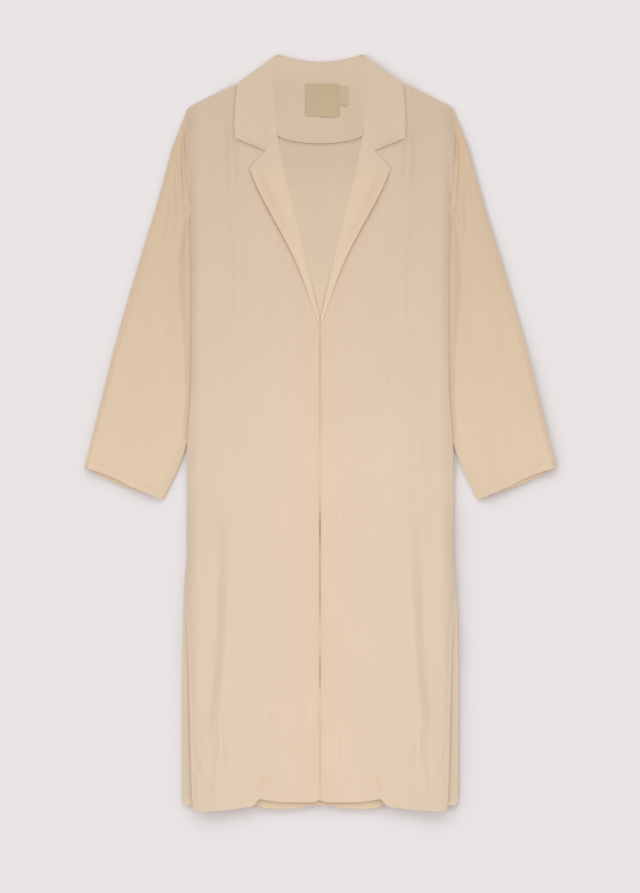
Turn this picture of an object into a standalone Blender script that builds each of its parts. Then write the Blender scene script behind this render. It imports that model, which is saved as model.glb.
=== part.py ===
"""Long open-front linen coat with notched lapels and wide sleeves, laid out flat on its back.

Metres, +Z up. The coat rests on the plane Z = 0, its collar towards +Y and its hem towards -Y. X = 0 is its
centre line, and the origin is the middle of its outline. All sizes and tables below are in millimetres:
"across" is the distance from the centre line and "down" the distance below a line near the collar's top.
Each piece is an open sheet, lofted through sections, that Solidify makes into a wall of cloth.
"""

import math

import bpy
import numpy as np

MM = 0.001


def table(names, *rows):
    """A short table as a dict: one array for each named column."""
    return dict(zip(names.split(), np.array(rows, float).T))


# Driving sizes
COAT_LENGTH = 1210.0
COLLAR_PEAK = 3.0  # how far the collar's two corners stand above the line that "down" is measured from
CLOTH = 1.2  # one layer of linen
TURNED_CLOTH = 1.4  # collar and lapels, which are two layers
LABEL_CLOTH = 1.0
SEAM_GAP = 0.3  # between pieces that are sewn together, one over the other
SIDE_GAP = 0.4  # the same, where their edges lie side by side
NECK_GAP = 1.0  # between the collar's stand and the neck edge of the body, which is straight between sections
LAY_GAP = 0.8  # between a turned collar or lapel and the front that it lies on

# Side edge of the body, from the tip of the shoulder past the armhole and the side seam to the hem
SIDE_EDGE = table(
    "down half_width",
    (82, 211),
    (118, 214.5),
    (174, 212),
    (246, 208),
    (310, 206),
    (390, 205),
    (470, 205),
    (542, 206),
    (585, 209.5),
    (630, 212.3),
    (790, 212.5),
    (862, 217.3),
    (900, 219),
    (1015, 220.4),
    (1175, 220.8),
    (1197, 219.5),
)
# How far the front's edge lies inside the back's, from the top of the side vent down
VENT_SETBACK = table("down setback", (845, 0), (872, 3), (935, 9), (1030, 12), (1142, 15), (1197, 17))
# Back neck and shoulder seam
TOP_EDGE = table(
    "across down",
    (0, 27),
    (40, 24.5),
    (66, 19.5),
    (77, 18),
    (92, 22.5),
    (120, 42.5),
    (133, 49),
    (145, 52),
    (152, 54.5),
    (167, 60.5),
    (192, 73),
    (204, 79),
    (212, 84.5),
)
BACK_HEM = table(
    "across down",
    (0, 1197),
    (22, 1200),
    (40, 1203),
    (72, 1205),
    (91, 1203),
    (103, 1197),
    (120, 1195),
    (205, 1198.5),
    (215, 1198),
    (221, 1192),
)
FRONT_HEM = table(
    "across down",
    (0, 1189.5),
    (14, 1193),
    (56, 1193),
    (78, 1190.5),
    (97, 1188),
    (106, 1198),
    (128, 1202.5),
    (150, 1205.5),
    (190, 1207),
    (199, 1206.5),
    (203, 1202),
)
# Line along which collar and lapel turn over, and how much of them goes on under it to the front's cloth
ROLL_LINE = table(
    "down across turn_under",
    (1, 66, 13),
    (10, 71, 13),
    (35, 75.5, 11),
    (80, 74, 7),
    (127, 68, 2.5),
    (198, 54, 2),
    (254, 40, 2),
    (310, 26.5, 2),
    (374, 12, 2),
    (419, 5, 2),
)
# Front edge below the lapels: half of the slit that shows between the two fronts
FRONT_EDGE = table(
    "down across",
    (419, 7.4),
    (422, 7.2),
    (432, 2.5),
    (446, 0.9),
    (560, 1.3),
    (800, 1.5),
    (1010, 1),
    (1197, 0.8),
)
# Collar's turn at the back of the neck, and its outer edge from the shoulder to its lower corner
BACK_ROLL = table("across down", (0, 12.2), (28, 9.3), (50, 4.6), (60, 2), (66, 1))
COLLAR_EDGE = table("share across down", (0, 132, 46), (0.3, 135.5, 75), (0.75, 136.8, 113), (1, 135, 133))
COLLAR_BACK_DEPTH = 88.0  # down to the collar's outer edge at the centre back
NOTCH = (88.0, 152.0)  # across and down to the corner between collar and lapel
GORGE_DOWN = 127.0  # where the seam from the notch meets the roll line
GORGE_GAP = 0.8  # lapel below collar along that seam
NOTCH_REACH = (0.35, 1.0)  # shares of the leaf between which its sections bend down to the notch
LAPEL_EDGE = table(
    "share across down",
    (0, 112, 181),
    (0.1, 104, 203),
    (0.25, 86, 239),
    (0.42, 62, 283),
    (0.58, 43, 320),
    (0.74, 28.5, 354),
    (0.9, 16, 391),
    (1, 8, 419),
)

# Sleeve sections from the armhole to the cuff
SLEEVE = table(
    "outer_across outer_down inner_across inner_down loft",
    (211.4, 85.2, 210, 242, 0),
    (224, 119, 209.4, 263, 0.9),
    (236, 150.5, 208.4, 288, 1.6),
    (244.5, 182.5, 201, 325, 2),
    (262.5, 246.5, 192, 385, 2.4),
    (282.5, 310.5, 189, 445, 2.6),
    (311, 406.5, 192, 520, 2.6),
    (329, 470.5, 202, 577, 2.6),
    (353, 566.5, 222, 644, 2.4),
    (375.6, 659, 253, 709.5, 2),
)
SLEEVE_PRESSED = 2.8  # height of the flattened sleeve at its two folded edges
SLEEVE_OUTER_SWELL = (0.0, 35.0)  # distances from the outer fold between which it swells to its full loft
SLEEVE_INNER_SWELL = (24.0, 69.0)  # the same from the inner fold, which is flat where it lies under the body
ARMPIT_REACH = 25.0  # length of the armhole over which its end makes room for the fold
SLEEVE_EDGE_STEP = 0.01  # share to each side that gives the direction of a folded edge
ARMHOLE_FADE = 0.06  # share of the sleeve over which its sections straighten from the armhole's curve

# What lies under the back lifts it: the collar's fall at the neck, and the sleeves at the sides
COLLAR_RISE = 2.2
COLLAR_RISE_ACROSS = (138.0, 190.0)  # full to the first distance, none from the second
COLLAR_RISE_DOWN = (95.0, 175.0)
TUCK_RISE = 3.3
TUCK_RISE_INSIDE = (30.0, 78.0)  # the same, in from the side edge
TUCK_RISE_START = (240.0, 285.0)
TUCK_RISE_END = (636.0, 686.0)
# The fronts swell gently above the back
NECK_LOFT = 0.7
FRONT_LOFT = 1.4
FRONT_LOFT_REACH = 60.0  # distance from a seam at which the loft is full

# Largest soft folds, as ridges
FOLD_FADE = (0.0, 0.25)  # shares of a fold's length over which it grows at each end
FRONT_FOLDS = table(
    "from_across from_down to_across to_down half_width height",
    (128, 190, 122, 520, 22, 1),
    (166, 720, 158, 1010, 14, 2),
    (158, 985, 171, 1150, 12, 1.6),
    (198, 1085, 178, 1140, 8, 1.2),
    (104, 1120, 100, 1195, 10, 1.6),
)
SLEEVE_FOLDS = table(
    "from_across from_down to_across to_down half_width height",
    (217, 100, 222, 262, 6, 1.2),
    (228, 150, 236, 330, 8, 1.1),
    (243, 205, 262, 345, 9, 0.8),
    (300, 560, 318, 660, 12, 0.8),
)

# Back neck facing, label and size tab
FACING_EDGE = table("across down", (0, 140.5), (20, 139.7), (42, 136.8), (58, 133.3), (67, 128.5))
FACING_TOP_GAP = 1.0
FACING_SIDE_GAP = 3.6
LABEL_MIDDLE = (4.2, 71.5)
LABEL_SIZE = (54.5, 52.0)
TAB_SIZE = (13.4, 31.0)
TAB_DOWN = 64.8

# Sections: levels down the body, and distances in from its side edge that fronts and back share
BODY_ROWS = table(
    "start stop count",
    (83, 240, 7),
    (240, 290, 4),
    (290, 420, 4),
    (420, 446, 2),
    (446, 625, 4),
    (625, 690, 4),
    (690, 1110, 8),
    (1110, 1197, 4),
)
TOP_LEVEL = BODY_ROWS["start"][0]
HEM_LEVEL = BODY_ROWS["stop"][-1]
TOP_BLEND = 160.0  # how far below the shoulder the sections become level
HEM_BLEND = 90.0
SIDE_STEPS = np.array([0, 8, 18, 30, 44, 60, 78])
FRONT_INNER_STEPS = 5
BACK_INNER_STEPS = 6
SLEEVE_RINGS = 16
SLEEVE_STEPS = np.array([0, 0.04, 0.11, 0.22, 0.36, 0.5, 0.64, 0.78, 0.9, 1])
LEAF_STATIONS = 7
WRAP_ANGLES = (60, 20, -20, -60)
FALL_STATIONS = 7
LAPEL_STATIONS = 14
LEAF_STEPS = np.array([0, 0.12, 0.3, 0.5, 0.694, 0.85, 1])  # from the outer edge to the roll line
NOTCH_STEP = LEAF_STEPS[4]
TURN_ANGLES = np.radians([40, 90, 140])
UNDER_STEPS = np.array([0, 0.5, 1])
FACING_STEPS = 6
PATCH_STEPS = 4
BEGIN_PASSES = 3  # a front's inner edge and the slant of its sections depend on each other
MIRROR_MERGE = 0.05

# Finish
LINEN = (0.76, 0.60, 0.45)
LINEN_TURNED = (0.72, 0.565, 0.42)
LABEL_TWILL = (0.50, 0.40, 0.255)
LINEN_ROUGHNESS = 0.9
TWILL_ROUGHNESS = 0.8


def curve(x, xs, ys):
    """A smooth curve through points, which never swings past them (a monotone cubic)."""
    x = np.clip(x, xs[0], xs[-1])
    slope = np.diff(ys) / np.diff(xs)
    before, after = slope[:-1], slope[1:]
    same_way = before * after > 0
    middle = np.where(same_way, 2 * before * after / np.where(same_way, before + after, 1), 0)
    tangent = np.concatenate([slope[:1], middle, slope[-1:]])
    i = np.clip(np.searchsorted(xs, x) - 1, 0, len(xs) - 2)
    width = xs[i + 1] - xs[i]
    t = (x - xs[i]) / width
    start = (1 + 2 * t) * (1 - t) ** 2 * ys[i] + t * (1 - t) ** 2 * width * tangent[i]
    return start + t * t * (3 - 2 * t) * ys[i + 1] + t * t * (t - 1) * width * tangent[i + 1]


def look_up(columns, x_name, x, y_name):
    return curve(np.asarray(x, float), columns[x_name], columns[y_name])


def rise(x, span):
    """0 before the span, 1 after it, and a smooth step between."""
    t = np.clip((x - span[0]) / (span[1] - span[0]), 0, 1)
    return t * t * (3 - 2 * t)


def place(across, down, height):
    """Points in metres from distances in millimetres."""
    return np.stack(np.broadcast_arrays(across, COAT_LENGTH / 2 - COLLAR_PEAK - down, height), axis=-1) * MM


def ridges(folds, across, down):
    """Height of soft folds, each a rounded ridge along a line that fades out at both ends."""
    height = np.zeros(np.broadcast(across, down).shape)
    for x0, y0, x1, y1, half_width, top in zip(*folds.values()):
        length = math.hypot(x1 - x0, y1 - y0)
        run = np.clip(((across - x0) * (x1 - x0) + (down - y0) * (y1 - y0)) / length**2, 0, 1)
        apart = np.hypot(across - x0 - run * (x1 - x0), down - y0 - run * (y1 - y0))
        fade = rise(run, FOLD_FADE) * rise(1 - run, FOLD_FADE)
        height = height + top * fade * np.exp(-((apart / half_width) ** 2))
    return height


# Edges and heights of the body

def side_edge(down):
    return look_up(SIDE_EDGE, "down", down, "half_width")


def roll_line(down):
    return look_up(ROLL_LINE, "down", down, "across")


def turn_under(down):
    return look_up(ROLL_LINE, "down", down, "turn_under")


def top_edge(across):
    return look_up(TOP_EDGE, "across", across, "down")


def over_collar(across, down):
    """1 where the collar lies under the back, fading to 0 around it."""
    return (1 - rise(across, COLLAR_RISE_ACROSS)) * (1 - rise(down, COLLAR_RISE_DOWN))


def over_sleeve(across, down):
    """1 where a sleeve's inner edge lies under the back, fading to 0 around it."""
    beside = rise(down, TUCK_RISE_START) * (1 - rise(down, TUCK_RISE_END))
    return (1 - rise(side_edge(down) - across, TUCK_RISE_INSIDE)) * beside


def back_height(across, down):
    """Underside of the back above the floor."""
    return COLLAR_RISE * over_collar(across, down) + TUCK_RISE * over_sleeve(across, down)


def front_height(across, down):
    """Underside of a front, which lies on the back and swells gently between its seams."""
    reach = (0, FRONT_LOFT_REACH)
    loft = FRONT_LOFT * rise(side_edge(down) - across, reach) * rise(down - top_edge(across), reach)
    lift = loft + NECK_LOFT * over_collar(across, down) + ridges(FRONT_FOLDS, across, down)
    return back_height(across, down) + CLOTH + SEAM_GAP + lift


def leaf_height(across, down):
    """Middle of a turned collar or lapel, which lies on the front."""
    return front_height(across, down) + CLOTH + LAY_GAP + TURNED_CLOTH / 2


def body_levels():
    rows = zip(*BODY_ROWS.values())
    spans = [np.linspace(start, stop, int(count), endpoint=False) for start, stop, count in rows]
    return np.append(np.concatenate(spans), HEM_LEVEL)[:, None]


def body_down(across, level, hem):
    """Sections follow the shoulder seam at the top and the hem at the bottom, and are level between them."""
    at_top = np.clip(1 - (level - TOP_LEVEL) / TOP_BLEND, 0, 1)
    at_hem = np.clip(1 - (HEM_LEVEL - level) / HEM_BLEND, 0, 1)
    hem_shape = look_up(hem, "across", across, "down") - HEM_LEVEL
    return level + at_top * (top_edge(across) - TOP_LEVEL) + at_hem * hem_shape


def front_begin(down):
    """Where a front's cloth begins: at the turn of collar and lapel, and below them at the front edge."""
    gap = np.where(down < GORGE_DOWN, NECK_GAP, SIDE_GAP)
    by_roll = roll_line(down) + turn_under(down) + gap
    return np.where(down < ROLL_LINE["down"][-1], by_roll, look_up(FRONT_EDGE, "down", down, "across"))


# Making objects

def linen(name, colour, roughness=LINEN_ROUGHNESS):
    material = bpy.data.materials.new(name)
    material.use_nodes = True
    shader = material.node_tree.nodes["Principled BSDF"]
    shader.inputs["Base Color"].default_value = (*colour, 1)
    shader.inputs["Roughness"].default_value = roughness
    return material


def make_sheet(name, grid, material, collection, closed=False):
    """A sheet of quads through rows and columns of points; closed joins the last column to the first."""
    rows, columns = grid.shape[:2]
    number = np.arange(rows * columns).reshape(rows, columns)
    if closed:
        number = np.hstack([number, number[:, :1]])
    corners = [number[:-1, :-1], number[:-1, 1:], number[1:, 1:], number[1:, :-1]]
    mesh = bpy.data.meshes.new(name)
    mesh.from_pydata(grid.reshape(-1, 3).tolist(), [], np.stack(corners, axis=-1).reshape(-1, 4).tolist())
    mesh.materials.append(material)
    sheet = bpy.data.objects.new(name, mesh)
    collection.objects.link(sheet)
    return sheet


def add_mirror(sheet):
    mirror = sheet.modifiers.new("other half", "MIRROR")
    mirror.merge_threshold = MIRROR_MERGE * MM


def add_wall(sheet, thickness, offset):
    wall = sheet.modifiers.new("wall", "SOLIDIFY")
    wall.thickness = thickness * MM
    wall.offset = offset


def on_side(grid, side):
    """The +X side's grid, or its mirror image on the -X side with its faces still pointing the same way."""
    return grid if side > 0 else grid[:, ::-1] * (-1, 1, 1)


# Body panels

def make_back(collection):
    levels = body_levels()
    outer = side_edge(levels) - SIDE_STEPS
    inner = outer[:, -1:] * np.linspace(1, 0, BACK_INNER_STEPS + 1)[1:]
    across = np.hstack([outer, inner])
    down = body_down(across, levels, BACK_HEM)
    half = place(across, down, back_height(across, down))
    sheet = make_sheet("back", half, linen("back linen", LINEN), collection)
    add_mirror(sheet)
    add_wall(sheet, CLOTH, 1)


def make_front(name, side, collection):
    levels = body_levels()
    outer = side_edge(levels) - look_up(VENT_SETBACK, "down", levels, "setback") - SIDE_STEPS
    begin = roll_line(levels)
    for _ in range(BEGIN_PASSES):
        begin = front_begin(body_down(begin, levels, FRONT_HEM))
    inner = outer[:, -1:] + (begin - outer[:, -1:]) * np.linspace(0, 1, FRONT_INNER_STEPS + 1)[1:]
    across = np.hstack([outer, inner])
    down = body_down(across, levels, FRONT_HEM)
    grid = place(across, down, front_height(across, down))
    sheet = make_sheet(name, on_side(grid, side), linen(name + " linen", LINEN), collection)
    add_wall(sheet, CLOTH, 1)


# Sleeves

def sleeve_edges(share):
    """The two folded edges of the sleeve at one section, each as (across, down), and its loft."""
    rows = np.arange(len(SLEEVE["loft"]), dtype=float)
    values = [curve(share * rows[-1], rows, column) for column in SLEEVE.values()]
    return np.array(values[0:2]), np.array(values[2:4]), values[4]


def sleeve_ring(share):
    """Outside of the flattened sleeve at one section: outer fold, top, inner fold and underside."""
    outer, inner, loft = sleeve_edges(share)
    outer_next, inner_next, _ = sleeve_edges(share + SLEEVE_EDGE_STEP)
    outer_last, inner_last, _ = sleeve_edges(share - SLEEVE_EDGE_STEP)
    width = np.linalg.norm(inner - outer)
    run = SLEEVE_STEPS * width
    across = outer[0] + SLEEVE_STEPS * (inner[0] - outer[0])
    down = outer[1] + SLEEVE_STEPS * (inner[1] - outer[1])
    radius = SLEEVE_PRESSED / 2
    at_armpit = 1 - rise(width - run, (0, ARMPIT_REACH))
    armhole = side_edge(down) + SIDE_GAP + radius * at_armpit - across
    across = across + armhole * (1 - rise(share, (0, ARMHOLE_FADE)))
    swell = rise(run, SLEEVE_OUTER_SWELL) * rise(width - run, SLEEVE_INNER_SWELL)
    top = SLEEVE_PRESSED + swell * (loft + ridges(SLEEVE_FOLDS, across, down))
    outer_fold = half_round(across[0], down[0], outer_next - outer_last, radius)
    inner_fold = half_round(across[-1], down[-1], inner_last - inner_next, radius)
    upper = place(across, down, top)
    lower = place(across, down, 0)
    return np.concatenate([outer_fold, upper, inner_fold[::-1], lower[::-1]])


def half_round(across, down, edge_direction, radius):
    """Fold at a flattened edge, from its underside up, on the left of the direction that the edge runs in."""
    step = radius * np.sin(TURN_ANGLES) / np.linalg.norm(edge_direction)
    level = radius * (1 - np.cos(TURN_ANGLES))
    return place(across + edge_direction[1] * step, down - edge_direction[0] * step, level)


def make_sleeve(name, side, collection):
    grid = np.array([sleeve_ring(share) for share in np.linspace(0, 1, SLEEVE_RINGS)])
    sheet = make_sheet(name, on_side(grid, side), linen(name + " linen", LINEN), collection, closed=True)
    add_wall(sheet, CLOTH, -1)


# Collar and lapels

def folded_section(leaf, under):
    """A section of turned cloth: the leaf from its outer edge, a half-round turn, then the part under it."""
    half = (leaf[-1] - under[0]) / 2
    middle = (leaf[-1] + under[0]) / 2
    ahead = leaf[-1] - leaf[-2]
    ahead = ahead - half * (ahead @ half) / (half @ half)
    ahead = ahead / np.linalg.norm(ahead) * np.linalg.norm(half)
    turn = middle + np.outer(np.cos(TURN_ANGLES), half) + np.outer(np.sin(TURN_ANGLES), ahead)
    return np.concatenate([leaf, turn, under])


def front_section(edge, roll, drop=0.0):
    """Section of a collar leaf or a lapel, from its edge to the roll line; drop lowers its middle."""
    across = edge[0] + (roll[0] - edge[0]) * LEAF_STEPS
    tent = np.minimum(LEAF_STEPS / NOTCH_STEP, (1 - LEAF_STEPS) / (1 - NOTCH_STEP))
    down = edge[1] + (roll[1] - edge[1]) * LEAF_STEPS + drop * tent
    under = roll[0] + turn_under(roll[1]) * UNDER_STEPS
    leaf = place(across, down, leaf_height(across, down))
    return folded_section(leaf, place(under, roll[1], front_height(under, roll[1]) + CLOTH / 2))


def collar_leaf_section(share):
    roll_down = ROLL_LINE["down"][0] + share * (GORGE_DOWN - ROLL_LINE["down"][0])
    edge = [look_up(COLLAR_EDGE, "share", share, name) for name in ("across", "down")]
    roll = [roll_line(roll_down), roll_down]
    notch_line = edge[1] + (roll[1] - edge[1]) * NOTCH_STEP
    return front_section(edge, roll, (NOTCH[1] - notch_line) * rise(share, NOTCH_REACH))


def collar_wrap_section(angle):
    """Section over the shoulder, where leaf and stand turn round the shoulder's edge to go under the back."""
    turn = math.radians(angle)
    edge = np.array([COLLAR_EDGE["across"][0], COLLAR_EDGE["down"][0]])
    roll = np.array([ROLL_LINE["across"][0], ROLL_LINE["down"][0]])
    axis = (roll - edge) / np.linalg.norm(roll - edge)
    outward = np.array([-axis[1], axis[0]])
    leaf_top = leaf_height(*roll)
    leaf_low = TURNED_CLOTH / 2
    under_top = front_height(*roll) + CLOTH / 2
    under_low = back_height(*roll) + CLOTH / 2
    leaf = edge + np.outer(LEAF_STEPS, roll - edge) + outward * math.cos(turn) * (leaf_top - leaf_low) / 2
    # The stand points across at the front, where the angle is 90, and down at the back, where it is -90
    swing = math.radians((90 - angle) / 2)
    reach = turn_under(roll[1]) * UNDER_STEPS
    under = roll + outward * math.cos(turn) * (under_top - under_low) / 2
    under = under + np.outer(reach, [math.cos(swing), math.sin(swing)])
    leaf_level = (leaf_top + leaf_low) / 2 + math.sin(turn) * (leaf_top - leaf_low) / 2
    under_level = (under_top + under_low) / 2 + math.sin(turn) * (under_top - under_low) / 2
    return folded_section(place(*leaf.T, leaf_level), place(*under.T, under_level))


def collar_fall_section(share):
    """Section behind the neck: the fall under the back, the turn, and the stand down to the neck seam."""
    across = ROLL_LINE["across"][0] * (1 - share)
    roll = np.array([across, look_up(BACK_ROLL, "across", across, "down")])
    edge_across = COLLAR_EDGE["across"][0] * (1 - share)
    bow = 1 - (1 - share) ** 2
    edge_down = COLLAR_EDGE["down"][0] + (COLLAR_BACK_DEPTH - COLLAR_EDGE["down"][0]) * bow
    edge = np.array([edge_across, edge_down])
    fall = edge + np.outer(LEAF_STEPS, roll - edge)
    stand = roll[1] + (top_edge(across) - NECK_GAP - roll[1]) * UNDER_STEPS
    stand_level = back_height(across, stand) + CLOTH / 2
    return folded_section(place(*fall.T, TURNED_CLOTH / 2), place(across, stand, stand_level))


def make_collar(collection):
    sections = [collar_leaf_section(share) for share in np.linspace(1, 0, LEAF_STATIONS)]
    sections += [collar_wrap_section(angle) for angle in WRAP_ANGLES]
    sections += [collar_fall_section(share) for share in np.linspace(0, 1, FALL_STATIONS)]
    sheet = make_sheet("collar", np.array(sections), linen("collar linen", LINEN_TURNED), collection)
    add_mirror(sheet)
    add_wall(sheet, TURNED_CLOTH, 0)


def lapel_section(share):
    roll_down = GORGE_DOWN + GORGE_GAP + share * (ROLL_LINE["down"][-1] - GORGE_DOWN - GORGE_GAP)
    edge = [look_up(LAPEL_EDGE, "share", share, name) for name in ("across", "down")]
    return front_section(edge, [roll_line(roll_down), roll_down])


def make_lapel(name, side, collection):
    grid = np.array([lapel_section(share) for share in np.linspace(0, 1, LAPEL_STATIONS)])
    sheet = make_sheet(name, on_side(grid, side), linen(name + " linen", LINEN_TURNED), collection)
    add_wall(sheet, TURNED_CLOTH, 0)


# Back neck facing, label and size tab

def facing_height(across, down):
    return back_height(across, down) + CLOTH + SEAM_GAP


def make_facing(collection):
    share = np.linspace(0, 1, FACING_STEPS + 1)[:, None]
    step = np.linspace(1, 0, FACING_STEPS + 1)
    down = top_edge(0) + share * (FACING_EDGE["down"][0] - top_edge(0))
    across = (roll_line(down) - FACING_SIDE_GAP) * step
    first = top_edge(across) + FACING_TOP_GAP
    down = first + share * (look_up(FACING_EDGE, "across", across, "down") - first)
    half = place(across, down, facing_height(across, down))
    sheet = make_sheet("back_neck_facing", half, linen("facing linen", LINEN_TURNED), collection)
    add_mirror(sheet)
    add_wall(sheet, CLOTH, 1)


def make_patch(name, middle, size, collection):
    """A small flat piece on the facing."""
    across = middle[0] + size[0] * np.linspace(0.5, -0.5, PATCH_STEPS + 1)
    down = middle[1] + size[1] * np.linspace(-0.5, 0.5, PATCH_STEPS + 1)[:, None]
    grid = place(across, down, facing_height(np.abs(across), down) + CLOTH + SEAM_GAP)
    sheet = make_sheet(name, grid, linen(name + " twill", LABEL_TWILL, TWILL_ROUGHNESS), collection)
    add_wall(sheet, LABEL_CLOTH, 1)


def main():
    for obj in list(bpy.data.objects):
        bpy.data.objects.remove(obj)
    coat = bpy.data.collections.new("linen_coat")
    bpy.context.scene.collection.children.link(coat)
    make_back(coat)
    for hand, side in (("left", 1), ("right", -1)):
        make_front("front_" + hand, side, coat)
        make_sleeve("sleeve_" + hand, side, coat)
        make_lapel("lapel_" + hand, side, coat)
    make_collar(coat)
    make_facing(coat)
    make_patch("label", LABEL_MIDDLE, LABEL_SIZE, coat)
    tab_across = LABEL_MIDDLE[0] + (LABEL_SIZE[0] + TAB_SIZE[0]) / 2 + SIDE_GAP
    make_patch("size_tab", (tab_across, TAB_DOWN), TAB_SIZE, coat)


main()
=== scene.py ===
"""Looks of the linen coat: fine cloth over its solids, creases, stitching, floor, light and camera.

Metres, +Z up. The coat lies on the floor, its collar towards +Y and its hem towards -Y, and X = 0 is its
centre line. Sizes and tables are in millimetres, apart from cuts, tints, floor and camera, which are in
metres. "Across" is the distance from the centre line, and "down" the distance below a line near the collar's
top. A span is a pair of values between which something grows or fades. Side 1 is the wearer's left (+X) and
side -1 the right.
"""

import math

import bpy
import numpy as np
from numpy.linalg import norm
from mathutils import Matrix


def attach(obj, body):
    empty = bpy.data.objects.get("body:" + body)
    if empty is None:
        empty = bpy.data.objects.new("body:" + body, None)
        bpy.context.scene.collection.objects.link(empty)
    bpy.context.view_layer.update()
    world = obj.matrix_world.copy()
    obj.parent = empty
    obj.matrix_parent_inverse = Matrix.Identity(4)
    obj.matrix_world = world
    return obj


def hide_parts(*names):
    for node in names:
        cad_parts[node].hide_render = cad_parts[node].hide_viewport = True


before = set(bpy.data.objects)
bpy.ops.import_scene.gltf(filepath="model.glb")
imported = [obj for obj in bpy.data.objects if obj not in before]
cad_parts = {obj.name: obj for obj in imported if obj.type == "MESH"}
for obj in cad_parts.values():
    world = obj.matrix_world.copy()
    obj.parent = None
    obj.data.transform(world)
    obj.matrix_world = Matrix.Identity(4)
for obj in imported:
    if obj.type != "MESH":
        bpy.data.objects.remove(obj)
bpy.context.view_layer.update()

MM = 0.001
SIDES = (("left", 1), ("right", -1))
WHOLE = (0, 1)  # span of all shares


def table(names, *rows):
    """A short table as a dict: one array for each named column."""
    return dict(zip(names.split(), np.array(rows, float).T))


# Driving sizes
COAT_LENGTH = 1210
COLLAR_PEAK = 3  # how far the collar's two corners stand above the line that "down" is measured from
CLOTH = 1  # one layer of linen
TURNED_CLOTH = 1  # collar and lapels
LABEL_CLOTH = 0.7
SEAM_GAP = 0.3  # between pieces that are sewn together, one over the other
LAY_GAP = 0.2  # between a turned collar or lapel and the front that it lies on

# Side edge of the body, from the tip of the shoulder past the armhole and the side seam to the hem
SIDE_EDGE = table(
    "down half_width",
    (82, 211),
    (118, 214.5),
    (174, 212),
    (246, 208),
    (310, 206),
    (390, 205),
    (470, 205),
    (542, 206),
    (585, 209.5),
    (630, 212.3),
    (790, 212.5),
    (862, 217.3),
    (900, 219),
    (1015, 220.4),
    (1175, 220.8),
    (1197, 219.5),
)
# How far the front's edge lies inside the back's, from the top of the side vent down
VENT_SETBACK = table("down setback", (845, 0), (872, 3), (935, 8.5), (1030, 12), (1142, 15), (1197, 17))
# Back neck and shoulder seam
TOP_EDGE = table(
    "across down",
    (0, 27),
    (40, 24.5),
    (66, 19.5),
    (77, 18),
    (92, 22.5),
    (120, 42.5),
    (133, 46.5),
    (143, 48.5),
    (152, 54),
    (167, 60.5),
    (192, 73),
    (204, 79),
    (212, 84.5),
)
BACK_HEM = table(
    "across down",
    (0, 1197),
    (22, 1200),
    (40, 1203),
    (72, 1204.2),
    (91, 1202),
    (103, 1197),
    (120, 1195),
    (205, 1198.5),
    (215, 1198),
    (221, 1192),
)
FRONT_HEM = table(
    "across down",
    (0, 1189.5),
    (14, 1193),
    (56, 1193),
    (78, 1190.5),
    (97, 1188),
    (106, 1198),
    (128, 1202.5),
    (150, 1205.5),
    (190, 1207),
    (199, 1206.5),
    (203, 1202),
)
# Line along which collar and lapel turn over, and how much of them goes on under it to the front's cloth
ROLL_LINE = table(
    "down across turn_under",
    (-1, 68, 13),
    (10, 71.5, 13),
    (35, 75.5, 11),
    (80, 74, 8.5),
    (127, 68, 8),
    (198, 54, 8),
    (254, 40, 8),
    (310, 26.5, 8),
    (374, 12, 4.5),
    (402, 5.4, 2),
    (424, 0.3, 0.2),
)
# Front edge below the lapels: half of the slit that shows between the two fronts
FRONT_EDGE = table(
    "down across",
    (424, 0.3),
    (430, 0.2),
    (470, 0.26),
    (600, 0.26),
    (640, 0.15),
    (715, 0.3),
    (737, 0.7),
    (762, 1.35),
    (795, 0.6),
    (870, 0.95),
    (918, 0.1),
    (950, 0.3),
    (986, 1.6),
    (1020, 0.15),
    (1197, 0.1),
)
# Collar's turn at the back of the neck, and its outer edge from the shoulder to its lower corner
BACK_ROLL = table("across down", (0, 11), (28, 8), (50, 3.5), (60, 0.8), (68, -1))
COLLAR_EDGE = table("share across down", (0, 132, 46), (0.3, 135.5, 75), (0.75, 136.8, 113), (1, 135, 133))
COLLAR_BACK_DEPTH = 88  # down to the collar's outer edge at the centre back
GORGE_DOWN = 127  # where the seam between collar and lapel meets the roll line
NOTCH_DOWN = 152  # to the corner between their outer edges, at the seam's other end
NOTCH_STEP = 0.694  # its share of the way along the collar's lower edge
NOTCH_SEWN = (0.55, 0.75)  # shares between which that edge comes down to the seam
NOTCH_REACH = (0.35, 1)  # shares of the leaf between which its sections bend down to the notch
LAPEL_EDGE = table(
    "share across down",
    (0, 112, 181),
    (0.1, 104, 203),
    (0.25, 86, 239),
    (0.42, 62, 283),
    (0.58, 43, 320),
    (0.74, 28.5, 354),
    (0.9, 15.5, 391),
    (1, 2.6, 426),
)
LAPEL_LIFT = 4.4  # how far a lapel's outer edge stands off the front, most at a quarter of its length
LAPEL_END = (0.7, 1)  # share of its length over which the lift goes
COLLAR_LIFT = 1.5
COLLAR_END_LIFT = 3.2  # how much more its lower edge stands off, from the corner to the notch
COLLAR_END = (0.78, 1)  # share of the leaf's length over which that grows
LEAF_LIFT_REACH = (0, 24)
LEAF_CREASE_FADE = (3, 6)  # heights above the floor between which creases of collar and lapels grow
ROLL_REACH = 0.2  # how far the turn bulges past the roll line
WRAP_REACH = 0.9  # the same where the collar turns over the shoulder
ROLL_DIP = 1  # how far the lapel is pressed down along the roll line
ROLL_DIP_START = (118, 150)
ROLL_DIP_FULL = 8  # turn_under from which the dip is full
BACK_MEET = 0.8  # how far the back comes up to the lapels' turn, inside the neck
BACK_MEET_REACH = (0, 13)
BACK_MEET_END = (345, 405)
STAND_SWING = 62  # degrees by which the stand points down, not across, at the shoulder
STAND_SWING_SPAN = (0, 0.3)  # shares of the leaf over which it comes round to point across

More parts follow.
